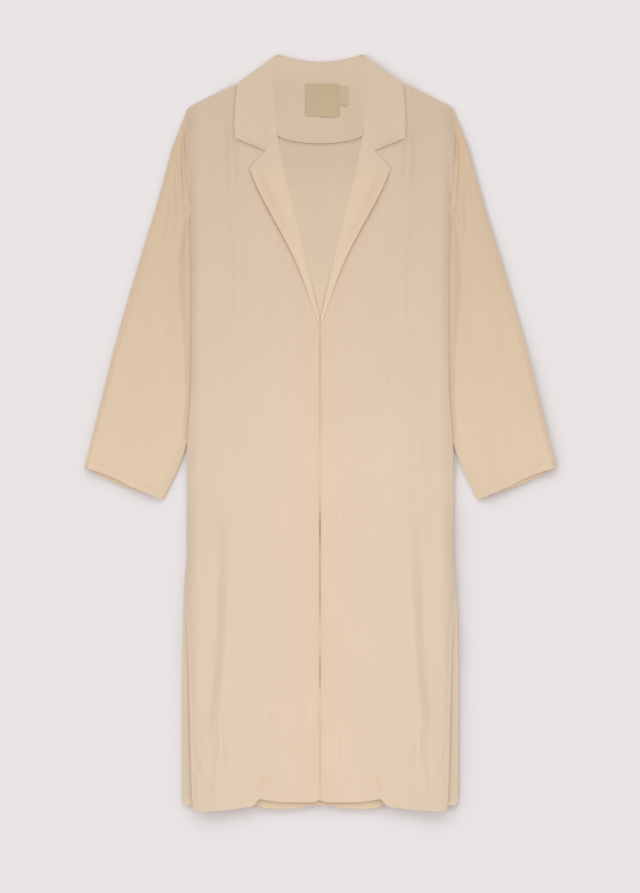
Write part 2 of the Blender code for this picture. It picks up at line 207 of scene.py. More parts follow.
# Sleeve sections from the armhole to the cuff
SLEEVE = table(
    "outer_across outer_down inner_across inner_down loft",
    (210.2, 86.2, 209.6, 242, 4),
    (224, 119.2, 208.6, 263, 4.6),
    (235.8, 150.8, 205.4, 288, 5.4),
    (244.3, 182.8, 201, 325, 6.4),
    (262.3, 246.8, 192, 385, 7.4),
    (282.3, 310.8, 189, 445, 8),
    (310.8, 406.8, 192, 520, 8),
    (328.8, 470.8, 202, 577, 7.4),
    (352.8, 566.8, 222, 644, 6.6),
    (376.1, 659, 253, 709.5, 5),
)
SLEEVE_LENGTH = 610
SLEEVE_SLANT = 16  # degrees from the body's length
SLEEVE_PRESSED = 2.6  # height of the flattened sleeve at its two folded edges
# Distance from the outer fold to the sleeve's full loft, by the share of its length
SLEEVE_OUTER_SWELL = table("share reach", (0, 62), (0.35, 52), (0.55, 30), (0.75, 13), (1, 7))
SLEEVE_INNER_SWELL = (0, 22)  # distance from the inner fold over which it swells to the same
SLEEVE_RISE = 1.3  # how far the outer fold stands off the floor below the shoulder
SLEEVE_RISE_START = (0, 0.2)
SLEEVE_RISE_REACH = (0, 40)
# Distances from the body's edge between which the sleeve comes up from under it
SLEEVE_BESIDE = table(
    "down start stop",
    (85, -30, -10),
    (180, -20, 0),
    (250, 0, 12),
    (300, 2, 18),
    (358, 0, 23),
    (470, 0, 15),
    (560, 0, 11),
    (680, 0, 12),
)
ARMPIT_REACH = 25  # length of the armhole over which its end makes room for the fold
ARMPIT_ROOM = 0.3
SLEEVE_EDGE_STEP = 0.01  # share to each side that gives the direction of a folded edge
ARMHOLE_FADE = 0.12  # share of the sleeve over which its sections straighten from the armhole's curve
ARMHOLE_BLEND = (0, 0.06)  # and over which its height leaves that of the front's edge
ARMHOLE_MEET = 0.6  # how much of the front's wall the sleeve's edge stands beside
CUFF_SHOWS = 4.2  # how far the sleeve's under layer shows past its top layer at the cuff
CUFF_SHOWS_SPAN = (0, 0.85)  # shares of the cuff, from its outer fold, where it shows
CUFF_SHOWS_FROM = (0.96, 1)  # shares of the sleeve's length over which it comes out
CUFF_BOW = 3  # how far the top layer's edge draws back from a straight cuff
CUFF_BOW_SPAN = (0, 0.6)
CUFF_RISE = 1.5  # how far the under layer stands off the floor there
CUFF_BAND = 0.45  # how much higher the doubled hem of the cuff is
CUFF_BAND_EDGE = (-1, 1)  # distances past the hem's seam over which it rises

# What lies under the back lifts it: the collar's fall at the neck, and the sleeves at the sides
COLLAR_RISE = 2.2  # how far the collar's fall lifts the back
COLLAR_RISE_ACROSS = (138, 190)  # full to the first distance, none from the second
COLLAR_RISE_DOWN = (95, 175)
EDGE_RISE = 1.4  # how far the back's own edges stand off the floor
EDGE_RISE_REACH = (0, 45)
HEM_RISE = 3.7  # and its hem besides, where it shows below the fronts
HEM_RISE_REACH = (0, 16)
HEM_RISE_ACROSS = (95, 125)
VENT_RIDGE = 4.4  # height of the fold beside each vent, which the front's edge lies on
VENT_RIDGE_START = (690, 780)
VENT_RIDGE_UP = (0, 20)
# Distances in from the side edge between which the fold comes down again
VENT_RIDGE_FOOT = table(
    "down start stop",
    (700, 44, 74),
    (870, 50, 73),
    (958, 48, 70),
    (1062, 39, 60),
    (1135, 28, 76),
)
TUCK_RISE = 3.2  # how far a sleeve's inner edge lifts the back
TUCK_RISE_INSIDE = (30, 78)  # full to the first distance in from the side edge, none from the second
TUCK_RISE_START = (240, 285)
TUCK_RISE_END = (636, 686)
# The fronts swell above the back and roll down to it at the side seam, but not along the armhole
FRONT_LOFT = 7
# Distance from the side seam over which they swell
SIDE_ROLL = table("down reach", (420, 14), (590, 24), (840, 24), (930, 14))
VENT_LIFT = 0.6  # share of the loft that they keep at their free edge beside the vent
VENT_LIFT_START = (850, 940)
SKIRT_DROP = 0.75  # share of the loft that they lose between the folds beside the vents, but not at the hem
SKIRT_DROP_END = (1045, 1135)
NECK_ROLL = (0, 48)  # distance from the lapel's turn over which they swell, down to the lapels' end
NECK_ROLL_END = (415, 560)
TOP_ROLL = (0, 45)
ARMHOLE_LIFT_START = (95, 130)
ARMHOLE_LIFT_END = (195, 238)
ARMHOLE_TUCK = (150, 186)  # where the seam begins to lie deeper, by a share of the lift
ARMHOLE_TUCK_DEPTH = 0.5
EDGE_ROLL = 1  # how far the folded front edge rolls down to the slit
EDGE_ROLL_REACH = (0, 5)
HEM_DROP = 0.15  # share of the loft that the front loses at its hem, where the back's hem shows below it
HEM_DROP_REACH = (0, 60)
HEM_DROP_ACROSS = (96, 122)
CREASE_SIDE_FADE = (0, 14)  # distance from a front's side over which its creases grow
BACK_SIDE_FADE = (0, 3)  # the same for the back's creases

# Creases: lines along which the cloth rises (height above 0) or dips (below 0). Side 0 is both sides, and bow
# bends the line sideways in its middle
CREASE_COLUMNS = "side from_across from_down to_across to_down bow half_width height"
CREASE_FADE = (0, 0.3)  # shares of a crease's length over which it grows at each end
FRONT_CREASES = table(
    CREASE_COLUMNS,
    # soft upright bands on the chest
    (0, 140, 115, 132, 500, -6, 12, -3.4),
    (0, 144, 80, 140, 225, 0, 8, -4.6),
    (0, 110, 300, 112, 640, 3, 14, 1.2),
    (0, 178, 150, 186, 460, 4, 16, 0.8),
    (0, 182, 560, 183, 810, 0, 16, 3.6),
    # creases at the foot of the skirt's long upright folds, and the rounded cloth beside them
    (0, 151, 740, 151, 940, 2, 8, -1.1),
    (0, 152, 900, 162, 1090, -2, 8, -1.3),
    (0, 188, 660, 186, 1090, 3, 15, 1.1),
    (0, 131, 1000, 134, 1075, 0, 3.5, -1.8),
    (0, 160, 1062, 150, 1150, 2, 4.5, -2.2),
    (0, 157, 1075, 168, 1205, 0, 9, -3.6),
    (0, 120, 940, 124, 1040, 0, 6, -1),
    # short slanting creases beside the vents
    (0, 204, 1100, 179, 1154, 5, 3.6, -4.5),
    (0, 192, 1075, 174, 1118, 3, 5, -2.2),
    # hem: a fold stands up from each kink, with small dents beside it
    (0, 104, 1110, 101, 1215, 0, 8, 1.6),
    (0, 76, 1148, 96, 1172, 2, 4, -4),
    (0, 82, 1136, 88, 1158, 0, 5, 0.9),
    # soft fold along the slit, a hollow beside it, and dents below the lapels' end
    (0, 4, 430, 4, 1200, 0, 2.4, 0.6),
    (0, 18, 880, 15, 1120, 0, 8, -1.7),
    (-1, 7, 1015, 6, 1195, 0, 4, -2.4),
    (-1, 12, 425, 16, 490, 0, 7, -1.2),
    (1, 9, 425, 12, 470, 0, 5, -0.7),
    # shoulders
    (0, 152, 62, 160, 120, 3, 7, 0.8),
    (0, 188, 95, 170, 155, 0, 9, -0.9),
)
SLEEVE_CREASES = table(
    CREASE_COLUMNS,
    # the hollow beside the armhole seam and the rounded fold next to it
    (0, 219, 100, 213.5, 255, 2, 4.2, -5),
    (0, 224, 112, 225, 215, 0, 5.5, 1),
    # upright folds below the shoulder, and the hollow beside the body
    (0, 233, 138, 227, 315, -3, 4, -2.8),
    (0, 231, 255, 227, 470, 0, 13, 3),
    (0, 238, 170, 243, 232, 0, 4.5, 0.9),
    (0, 238, 190, 258, 325, 1, 4.6, -2.4),
    (0, 240, 178, 260, 340, 2, 6, 1.1),
    (0, 213, 243, 227, 227, 0, 2.2, -1.6),
    (0, 213, 246, 224, 266, 0, 2.5, -1.4),
    (0, 216, 270, 212, 400, -2, 6, -1.5),
    # elbow, forearm and the crease inside the outer fold
    (0, 301, 395, 350, 556, 2, 2.5, -1.6),
    (0, 290, 340, 330, 510, 0, 9, -1.3),
    (0, 262, 420, 300, 600, 5, 16, 1),
    (0, 300, 565, 320, 655, 0, 8, -1.2),
    # puckers of the cuff's hem
    (0, 346, 636, 352, 668, 0, 2.5, -1.3),
    (0, 303, 664, 309, 696, 0, 2.2, -1.5),
    (0, 317, 658, 323, 688, 0, 2.2, -1.5),
    (0, 325, 646, 329, 680, 0, 2.5, 1),
    (0, 288, 668, 293, 700, 0, 2.5, -1.2),
)
COLLAR_CREASES = table(
    CREASE_COLUMNS,
    (-1, 62, 6, 70, 22, 0, 3.5, -1.3),
    (1, 64, 4, 72, 14, 0, 3, -0.6),
    (-1, 92, 60, 98, 120, 2, 7, -0.5),
    (1, 96, 52, 90, 110, -2, 7, -0.5),
)
LAPEL_CREASES = table(
    CREASE_COLUMNS,
    (-1, 78, 190, 52, 262, 2, 6, -0.6),
    (1, 82, 186, 50, 270, -2, 7, -0.6),
    (0, 48, 250, 26, 330, 0, 4, 0.5),
)
BACK_CREASES = table(
    CREASE_COLUMNS,
    (1, 20, 170, 8, 330, 2, 9, 0.7),
    (-1, 26, 160, 14, 300, -2, 8, 0.6),
    (0, 214, 960, 212, 1150, 0, 4, 0.8),
    (1, 216, 1150, 208, 1175, 0, 3, 0.9),
    (0, 64, 1186, 60, 1206, 0, 8, 0.5),
)
FACING_CREASES = table(
    CREASE_COLUMNS,
    (-1, 30, 60, 26, 128, 3, 5, 0.6),
    (-1, 14, 108, 8, 138, 0, 3.5, 0.8),
    (1, 40, 70, 44, 126, -2, 6, 0.6),
    (1, 30, 106, 22, 118, 0, 3, 0.5),
)
# Unevenness of the whole cloth: cells that random waves have across and down, and their height
CRINKLES = table("cell_across cell_down height", (46, 230, 0.55), (17, 70, 0.22), (6, 16, 0.09))
CRINKLE_SEEDS = {"front": 1, "back": 5, "sleeve": 9, "facing": 13}
FLAT_CRINKLE = 0.3  # share of that height that back and facing have

# Back neck facing, label and size tab
FACING_TOP = table("across down", (0, 26.7), (40, 24.2), (60, 20.4), (66, 18.4), (68.5, 12), (70.5, 6))
FACING_EDGE = table("across down", (0, 140.5), (20, 139.7), (42, 136.8), (58, 133.3), (67, 128.5))
FACING_SIDE_REST = 0.3  # how far its sides go on under the collar's turn
FACING_LIFT = 2.5  # how far its free lower edge stands off the back
FACING_LIFT_REACH = (0, 16)
FACING_SIDE_LIFT = 1.1  # how far it comes up to the collar's turn at its sides
FACING_SIDE_REACH = (0, 14)
FACING_TOP_FADE = (0, 12)  # distance from the neck seam over which its creases grow
STAND_RISE = 1.25  # how far the collar's stand comes up to it at the neck seam
STAND_RISE_SPAN = (0, 0.8)
LABEL_MIDDLE = (4.2, 71.5)
LABEL_SIZE = (54.5, 52)
LABEL_WAVE = 1.3  # how far its lower edge waves off the facing
LABEL_WAVE_REACH = (0, 18)
LABEL_WAVE_PHASE = 0.9
LABEL_CORNER = 3
LABEL_SAG = 0.8  # how far its lower edge waves up and down
TAB_SIZE = (13.4, 31)
TAB_DOWN = 64.8

# Stitching
STITCH = 2.7  # length of one stitch
STITCH_STEP = 3.5
THREAD = 0.5
# One stitch: shares of its length, and the thread's thickness and height there as shares of THREAD
STITCH_SHAPE = table(
    "share thickness arch",
    (0, 0.25, -0.5),
    (0.25, 0.9, 0.25),
    (0.5, 1, 0.4),
    (0.75, 0.9, 0.25),
    (1, 0.25, -0.5),
)
CUFF_STITCH = 10  # distance of the seam from the edge
CUFF_STITCH_SPAN = (0.02, 0.98)  # shares of the cuff where its stitches show
FACING_STITCH = 3
FACING_STITCH_ACROSS = 62
LABEL_STITCH = 1.8
SEAM_POINTS = 60
BORDER_POINTS = 30

# Spacing of the cloth's points
TOP_LEVEL = 83
HEM_LEVEL = 1197
TOP_BLEND = 160  # how far below the shoulder the sections become level
HEM_BLEND = 90
BODY_ROWS = 270
BODY_FINENESS = 0.5
FRONT_COLUMNS = 120
BACK_COLUMNS = 110
SLEEVE_RINGS = table("start stop count", (0, 0.08, 26), (0.08, 0.9, 150), (0.9, 1, 28))
SLEEVE_COLUMNS = 84
SLEEVE_UNDER_COLUMNS = 26
RIM_SHARE = 0.12  # place of an extra row of points in the first step at each edge, which keeps the rim crisp
FOLD_ANGLES = np.radians(np.linspace(20, 160, 8))
LEAF_COLUMNS = 26
UNDER_COLUMNS = 8
LEAF_STATIONS = 34
WRAP_ANGLES = np.linspace(76, -76, 12)
FALL_STATIONS = 26
LAPEL_STATIONS = 76
FACING_STEPS = 40
PATCH_STEPS = 24
BEGIN_PASSES = 3  # a front's inner edge and the slant of its sections depend on each other

# Finish
LINEN = (0.888, 0.69, 0.521)
# Copies of the linen, each set to the brightness its piece shows: the collar and lapels are lighter, as
# painted light, and the back, facing and sleeves darker, as painted shade
LINEN_COLLAR = (0.9, 0.715, 0.546)
LINEN_LAPEL = (0.938, 0.735, 0.547)
LINEN_BACK = (0.86, 0.685, 0.51)
LINEN_INSIDE = (0.861, 0.677, 0.505)
LINEN_SLEEVE = (0.853, 0.663, 0.478)
TWILL = (0.727, 0.573, 0.371)
TWILL_PALE = (0.785, 0.602, 0.415)
THREAD_COLOUR = (0.80, 0.61, 0.45)
LINEN_PERIOD = 0.9  # from thread to thread
TWILL_PERIOD = 0.5
CLOTH_FINISH = {
    "Roughness": 0.85,
    "Specular IOR Level": 0.2,
    "Sheen Weight": 0.12,
    "Sheen Roughness": 0.5,
    "Sheen Tint": (1, 0.9, 0.8, 1),
}
# Slubs and blotches: their size across and along the cloth, and their weight in its tone and its relief
SLUBS = table(
    "across along tone relief",
    (1.8, 60, 0.34, 0.6),
    (5, 190, 0.3, 0),
    (34, 1.7, 0.16, 0.4),
    (70, 130, 0.3, 0),
)
WEAVE_TONE = (0.05, 0.05)  # the same weights of the threads along and across
WEAVE_RELIEF = (0.4, 0.4)
TONE_SPAN = (0.35, 0.85)
TONE_CONTRAST = 0.05  # how far the tone goes to each side of the colour
THREAD_TWIST = 0.8  # from ply to ply
# Painted shade in the grooves between the thread's plies
THREAD_GROOVE = 0.85  # share of the colour that is left between the plies
# Tints by place in metres, along Y or out from the centre line, which paint light and shade: painted shade
# darkens the cloth from the waist up to the collar and out to the sides, and painted warm light brightens the
# back's hem
TINT_COLUMNS = "place red green blue"
# Painted shade on the fronts, collar, label and tab: darker from the waist up to the collar
ALONG_PAINTED_SHADE = table(TINT_COLUMNS, (-0.04, 1, 1, 1), (0.56, 0.845, 0.836, 0.818))
# Painted shade on the facing: darker towards the neck
FACING_PAINTED_SHADE = table(TINT_COLUMNS, (-0.04, 1, 1, 1), (0.55, 0.847, 0.839, 0.821), (0.578, 0.88, 0.876, 0.862))
# Painted shade on the lapels: darker towards their top, and a little bluer there
LAPEL_PAINTED_SHADE = table(TINT_COLUMNS, (-0.04, 1, 1, 1), (0.405, 0.885, 0.879, 0.865), (0.47, 0.832, 0.836, 0.842))
# Painted warm light on the back's hem strip that shows below the fronts, painted shade on the strips beside
# the vents above it, and painted shade on the inside of the neck
BACK_PAINTED_LIGHT_AND_SHADE = table(
    TINT_COLUMNS,
    (-0.603, 1.08, 1.05, 1),
    (-0.592, 1.02, 1.01, 0.97),
    (-0.583, 0.935, 0.95, 0.935),
    (-0.47, 0.945, 0.96, 0.94),
    (-0.36, 1, 1, 1),
    (-0.04, 1, 1, 1),
    (0.385, 0.89, 0.884, 0.871),
    (0.43, 0.845, 0.838, 0.82),
    (0.56, 0.845, 0.836, 0.818),
)
# Painted shade on the sleeves: darker and yellower towards the armhole
SLEEVE_PAINTED_SHADE = table(TINT_COLUMNS, (-0.04, 1, 1, 1), (0.56, 0.845, 0.815, 0.775))
# Painted warm shade along the slit at the centre line, and painted shade that darkens the fronts out to their
# side edges, where the cloth rounds away
ACROSS_PAINTED_SHADE = table(
    TINT_COLUMNS,
    (0, 0.985, 0.93, 0.875),
    (0.003, 1, 0.978, 0.96),
    (0.04, 1, 1, 1),
    (0.12, 0.985, 0.988, 0.99),
    (0.19, 0.96, 0.977, 0.986),
    (0.212, 0.885, 0.905, 0.912),
)
NO_TINT = table(TINT_COLUMNS, (0, 1, 1, 1), (1, 1, 1, 1))
FLOOR_COLOUR = (0.914, 0.868, 0.869)
FLOOR_SIZE = 60
FLOOR_DROP = 0.0002  # below the coat
CLOTH_MAP = "cloth"

# Light and camera
CAMERA_HEIGHT = 4
FRAME_HEIGHT = 1.4288  # metres that the picture's height takes in
FRAME_MIDDLE = -0.0228  # place along Y that the picture's middle looks at
SENSOR = 36  # millimetres
DOME_LIGHT = 0.36
DOME_COLOUR = (1, 0.93, 0.84)
LAMP_COLOUR = (0.9, 0.945, 1)
LAMP_COLUMNS = "azimuth elevation soft_angle strength"
COAT_LAMPS = table(LAMP_COLUMNS, (0, 90, 130, 1.86))
# The floor has lamps of its own, mostly from above and left, which give the coat its soft shadow
FLOOR_LAMPS = table(
    LAMP_COLUMNS,
    (0, 90, 130, 0.365),
    (0, 25, 30, 0.7),
    (45, 24, 30, 0.3),
    (90, 22, 30, 0.4),
    (135, 19, 30, 0.1),
    (180, 19, 30, 0.1),
    (225, 22, 30, 0.5),
    (270, 23, 30, 1.05),
    (315, 22, 30, 0.8),
)


def curve(x, xs, ys):
    """A smooth curve through points, which never swings past them (a monotone cubic)."""
    x = np.clip(x, xs[0], xs[-1])
    slope = np.diff(ys) / np.diff(xs)
    before, after = slope[:-1], slope[1:]
    same_way = before * after > 0
    middle = np.where(same_way, 2 * before * after / np.where(same_way, before + after, 1), 0)
    tangent = np.concatenate([slope[:1], middle, slope[-1:]])
    i = np.clip(np.searchsorted(xs, x) - 1, 0, len(xs) - 2)
    width = xs[i + 1] - xs[i]
    t = (x - xs[i]) / width
    start = (1 + 2 * t) * (1 - t) ** 2 * ys[i] + t * (1 - t) ** 2 * width * tangent[i]
    return start + t * t * (3 - 2 * t) * ys[i + 1] + t * t * (t - 1) * width * tangent[i + 1]


def look_up(columns, at, name):
    """Value of the named column where the table's first column has this value."""
    first = next(iter(columns.values()))
    return curve(np.asarray(at, float), first, columns[name])


def row_at(columns, at):
    """Values of all the table's columns after its first, where that has this value."""
    return [look_up(columns, at, name) for name in list(columns)[1:]]


def rise(x, span):
    """0 before the span, 1 after it, and a smooth step between."""
    t = np.clip((x - span[0]) / (span[1] - span[0]), 0, 1)
    return t * t * (3 - 2 * t)


def fall(x, span):
    """1 before the span, 0 after it, and a smooth step between."""
    return 1 - rise(x, span)


def rounded(x, span):
    """0 before the span, 1 after it, and half of a parabola between, which starts steeply."""
    t = np.clip((x - span[0]) / (span[1] - span[0]), 0, 1)
    return t * (2 - t)


def fine_ends(count, fineness=0.6):
    """Shares from 0 to 1 that lie closer together near both ends."""
    even = np.linspace(0, 1, count)
    return even - fineness * np.sin(2 * math.pi * even) / (2 * math.pi)


def between(first, last, steps):
    """Points at these shares of the way from the first point to the last."""
    first = np.asarray(first)
    return first + np.outer(steps, np.asarray(last) - first)


def place(across, down, height):
    """Points in metres from distances in millimetres."""
    return np.stack(np.broadcast_arrays(across, COAT_LENGTH / 2 - COLLAR_PEAK - down, height), axis=-1) * MM


def creases(folds, side, across, down):
    """Height of the creases on one side, each a rounded ridge or trough that fades out at both ends."""
    height = np.zeros(np.broadcast(across, down).shape)
    for which, x0, y0, x1, y1, bow, half_width, top in zip(*folds.values()):
        if which not in (0, side):
            continue
        length = math.hypot(x1 - x0, y1 - y0)
        run = ((across - x0) * (x1 - x0) + (down - y0) * (y1 - y0)) / length
        share = np.clip(run / length, 0, 1)
        aside = ((across - x0) * (y1 - y0) - (down - y0) * (x1 - x0)) / length - bow * np.sin(math.pi * share)
        apart = np.hypot(aside, run - share * length)
        fade = rise(share, CREASE_FADE) * rise(1 - share, CREASE_FADE)
        height = height + top * fade * np.exp(-((apart / half_width) ** 2))
    return height


def creases_across(folds, across, down):
    """Height of the creases of a piece that goes across the centre line."""
    left, right = [creases(folds, side, np.abs(across), down) for _, side in SIDES]
    return np.where(across > 0, left, right)


def waves(across, down, cell_across, cell_down, seed):
    """Smooth random waves between -1 and 1."""
    size = 256
    lattice = np.random.default_rng(seed).uniform(-1, 1, (size, size))
    x, y = np.broadcast_arrays(across / cell_across, down / cell_down)
    i, j = np.floor(x).astype(int), np.floor(y).astype(int)
    u, v = rise(x - i, WHOLE), rise(y - j, WHOLE)
    near = lattice[i % size, j % size] * (1 - u) + lattice[(i + 1) % size, j % size] * u
    far = lattice[i % size, (j + 1) % size] * (1 - u) + lattice[(i + 1) % size, (j + 1) % size] * u
    return near * (1 - v) + far * v


def crinkle(across, down, seed):
    """Small unevenness of washed linen."""
    rows = enumerate(zip(*CRINKLES.values()))
    return sum(height * waves(across, down, *cells, seed + i) for i, (*cells, height) in rows)


# Edges and heights of the body

def side_edge(down):
    return look_up(SIDE_EDGE, down, "half_width")


def front_side(down):
    return side_edge(down) - look_up(VENT_SETBACK, down, "setback")


def roll_line(down):
    return look_up(ROLL_LINE, down, "across")


def turn_under(down):
    return look_up(ROLL_LINE, down, "turn_under")


def top_edge(across):
    return look_up(TOP_EDGE, across, "down")


def over_collar(across, down):
    """1 where the collar lies under the back, fading to 0 around it."""
    return fall(across, COLLAR_RISE_ACROSS) * fall(down, COLLAR_RISE_DOWN)


def over_sleeve(across, down):
    """1 where a sleeve's inner edge lies under the back, fading to 0 around it."""
    beside = rise(down, TUCK_RISE_START) * fall(down, TUCK_RISE_END)
    return fall(side_edge(down) - across, TUCK_RISE_INSIDE) * beside


def past_fold(inside, down):
    """0 on the fold beside the vent and 1 past its foot, by the distance in from the side edge."""
    return rise(inside, row_at(VENT_RIDGE_FOOT, down))


def back_height(across, down):
    """Underside of the back above the floor, without its creases."""
    inside = side_edge(down) - across
    from_hem = look_up(BACK_HEM, across, "down") - down
    tuck = over_sleeve(across, down)
    edge = fall(np.minimum(inside, from_hem), EDGE_RISE_REACH)
    edge = edge * rise(down, TUCK_RISE_START) * (1 - tuck)
    hem = (1 - rounded(from_hem, HEM_RISE_REACH)) * fall(across, HEM_RISE_ACROSS)
    ridge = rounded(inside, VENT_RIDGE_UP) * (1 - past_fold(inside, down)) * rise(down, VENT_RIDGE_START)
    lifts = COLLAR_RISE * over_collar(across, down) + TUCK_RISE * tuck
    return lifts + EDGE_RISE * edge + HEM_RISE * hem + VENT_RIDGE * ridge


def armhole_lift(down):
    """How much the sleeve holds the front's edge up: fully along the upper armhole, not above or below it."""
    lift = rise(down, ARMHOLE_LIFT_START) * fall(down, ARMHOLE_LIFT_END)
    return lift * (1 - ARMHOLE_TUCK_DEPTH * rise(down, ARMHOLE_TUCK))


def front_height(side, across, down):
    """Underside of a front, which lies on the back, swells between its seams, and has creases."""
    inside = front_side(down) - across
    below_top = rise(down - top_edge(across), TOP_ROLL)
    open_neck = fall(down, NECK_ROLL_END)
    from_turn = across - roll_line(down) - turn_under(down)
    free = below_top * (1 - open_neck * fall(from_turn, NECK_ROLL))
    held_up = np.maximum(armhole_lift(down), VENT_LIFT * rise(down, VENT_LIFT_START))
    side_roll = rounded(inside, (0, look_up(SIDE_ROLL, down, "reach")))
    loft = FRONT_LOFT * np.maximum(side_roll, held_up) * free
    skirt = rise(down, VENT_RIDGE_START) * fall(down, SKIRT_DROP_END)
    loft = loft * (1 - SKIRT_DROP * skirt * past_fold(side_edge(down) - across, down))
    from_hem = look_up(FRONT_HEM, across, "down") - down
    at_hem = fall(from_hem, HEM_DROP_REACH) * fall(across, HEM_DROP_ACROSS)
    loft = loft * (1 - HEM_DROP * at_hem)
    from_slit = across - look_up(FRONT_EDGE, down, "across")
    slit = np.where(down > ROLL_LINE["down"][-1], fall(from_slit, EDGE_ROLL_REACH), 0)
    uneven = creases(FRONT_CREASES, side, across, down) + crinkle(side * across, down, CRINKLE_SEEDS["front"])
    uneven = uneven * rise(inside, CREASE_SIDE_FADE) * free
    return back_height(across, down) + CLOTH + SEAM_GAP + np.maximum(loft + uneven - EDGE_ROLL * slit, 0)


def leaf_height(side, across, down):
    """Middle of a turned collar or lapel, which lies on the front."""
    return front_height(side, across, down) + CLOTH + LAY_GAP + TURNED_CLOTH / 2


def body_down(across, level, hem):
    """Sections follow the shoulder seam at the top and the hem at the bottom, and are level between them."""
    at_top = np.clip(1 - (level - TOP_LEVEL) / TOP_BLEND, 0, 1)
    at_hem = np.clip(1 - (HEM_LEVEL - level) / HEM_BLEND, 0, 1)
    hem_shape = look_up(hem, across, "down") - HEM_LEVEL
    return level + at_top * (top_edge(across) - TOP_LEVEL) + at_hem * hem_shape


def body_levels():
    return (TOP_LEVEL + (HEM_LEVEL - TOP_LEVEL) * fine_ends(BODY_ROWS, BODY_FINENESS))[:, None]


def front_begin(down):
    """Where a front's cloth begins: at the turn of collar and lapel, and below them at the front edge."""
    by_roll = roll_line(down) + turn_under(down)
    return np.where(down < ROLL_LINE["down"][-1], by_roll, look_up(FRONT_EDGE, down, "across"))


# Materials

def node(tree, kind, inputs=(), **settings):
    """A new node. An input is linked where a socket is given for it, and set where a value is."""
    made = tree.nodes.new(kind)
    for name, value in settings.items():
        setattr(made, name, value)
    for name, value in dict(inputs).items():
        if isinstance(value, bpy.types.NodeSocket):
            tree.links.new(value, made.inputs[name])
        else:
            made.inputs[name].default_value = value
    return made


def new_material(name, finish):
    """A new material and its shader, with these values set on the shader's own sockets."""
    material = bpy.data.materials.new(name)
    material.use_nodes = True
    shader = material.node_tree.nodes["Principled BSDF"]
    for socket, value in finish.items():
        shader.inputs[socket].default_value = value
    return material, shader


def streaks(tree, place_socket, across, along):
    """Noise in cells of these sizes in millimetres, from 0 to 1."""
    scale = (1 / (across * MM), 1 / (along * MM), 1)
    stretched = node(tree, "ShaderNodeMapping", {"Vector": place_socket, "Scale": scale}).outputs["Vector"]
    return node(tree, "ShaderNodeTexNoise", {"Vector": stretched, "Scale": 1, "Detail": 2}).outputs["Fac"]


def threads(tree, place_socket, direction, period):
    """Rounded threads side by side, with this period in millimetres."""
    inputs = {"Vector": place_socket, "Scale": math.pi / (10 * period * MM), "Distortion": 1.2, "Detail": 1}
    return node(tree, "ShaderNodeTexWave", inputs, bands_direction=direction).outputs["Fac"]


def weighted_sum(tree, sockets, weights):
    """Sum of sockets, each times its weight, without those of weight 0."""
    total = 0
    for socket, weight in zip(sockets, weights):
        if weight:
            scaled = node(tree, "ShaderNodeMath", {0: socket, 1: weight, 2: total}, operation="MULTIPLY_ADD")
            total = scaled.outputs["Value"]
    return total


def blend(tree, share, stops):
    """Colour between stops, each a place from 0 to 1 and a colour."""
    ramp = node(tree, "ShaderNodeValToRGB", {"Fac": share})
    for _ in stops[2:]:
        ramp.color_ramp.elements.new(0.5)
    for element, (at, colour) in zip(ramp.color_ramp.elements, stops):
        element.position = at
        element.color = (*colour, 1)
    return ramp.outputs["Color"]


def tint(tree, place_socket, tints):
    """Painted light and shade: colour that goes through a table's rows over a stretch of the coat."""
    start, stop = tints["place"][[0, -1]]
    inputs = {"Value": place_socket, "From Min": start, "From Max": stop}
    share = node(tree, "ShaderNodeMapRange", inputs).outputs["Result"]
    stops = [((at - start) / (stop - start), colour) for at, *colour in zip(*tints.values())]
    return blend(tree, share, stops)


def multiplied(tree, first, second):
    """Product of two colours."""
    return node(tree, "ShaderNodeVectorMath", {0: first, 1: second}, operation="MULTIPLY").outputs["Vector"]


def cloth_material(name, colour, along_light_and_shade, across_shade, period=LINEN_PERIOD):
    """Woven cloth: threads both ways, slubs along and across them, and painted light and shade that change
    slowly over the coat.
    """
    material, shader = new_material(name, CLOTH_FINISH)
    tree = material.node_tree
    on_cloth = node(tree, "ShaderNodeUVMap", uv_map=CLOTH_MAP).outputs["UV"]
    slubs = [streaks(tree, on_cloth, *size) for size in zip(SLUBS["across"], SLUBS["along"])]
    weave = [threads(tree, on_cloth, direction, period) for direction in ("X", "Y")]
    tone = weighted_sum(tree, slubs + weave, (*SLUBS["tone"], *WEAVE_TONE))
    dark, light = [[min(1, c * share) for c in colour] for share in (1 - TONE_CONTRAST, 1 + TONE_CONTRAST)]
    woven = blend(tree, tone, [(TONE_SPAN[0], dark), (TONE_SPAN[1], light)])
    on_coat = node(tree, "ShaderNodeTexCoord").outputs["Object"]
    across, along, _ = node(tree, "ShaderNodeSeparateXYZ", {"Vector": on_coat}).outputs
    from_centre = node(tree, "ShaderNodeMath", {0: across}, operation="ABSOLUTE").outputs["Value"]
    # Painted light and shade by place on the coat, along Y and out from the centre line
    tinted = multiplied(tree, woven, tint(tree, along, along_light_and_shade))
    tinted = multiplied(tree, tinted, tint(tree, from_centre, across_shade))
    tree.links.new(tinted, shader.inputs["Base Color"])
    relief = weighted_sum(tree, slubs + weave, (*SLUBS["relief"], *WEAVE_RELIEF))
    bump = node(tree, "ShaderNodeBump", {"Height": relief, "Strength": 0.35, "Distance": 0.3 * MM})
    tree.links.new(bump.outputs["Normal"], shader.inputs["Normal"])
    return material


def thread_material():
    """Sewing thread: two plies that wind round it, with painted shade in the grooves between them."""
    material, shader = new_material("thread", {"Roughness": 0.7})
    tree = material.node_tree
    on_thread = node(tree, "ShaderNodeTexCoord").outputs["Object"]
    plies = threads(tree, on_thread, "DIAGONAL", THREAD_TWIST)
    groove = [c * THREAD_GROOVE for c in THREAD_COLOUR]
    tree.links.new(blend(tree, plies, [(0, groove), (1, THREAD_COLOUR)]), shader.inputs["Base Color"])
    return material


# Making pieces

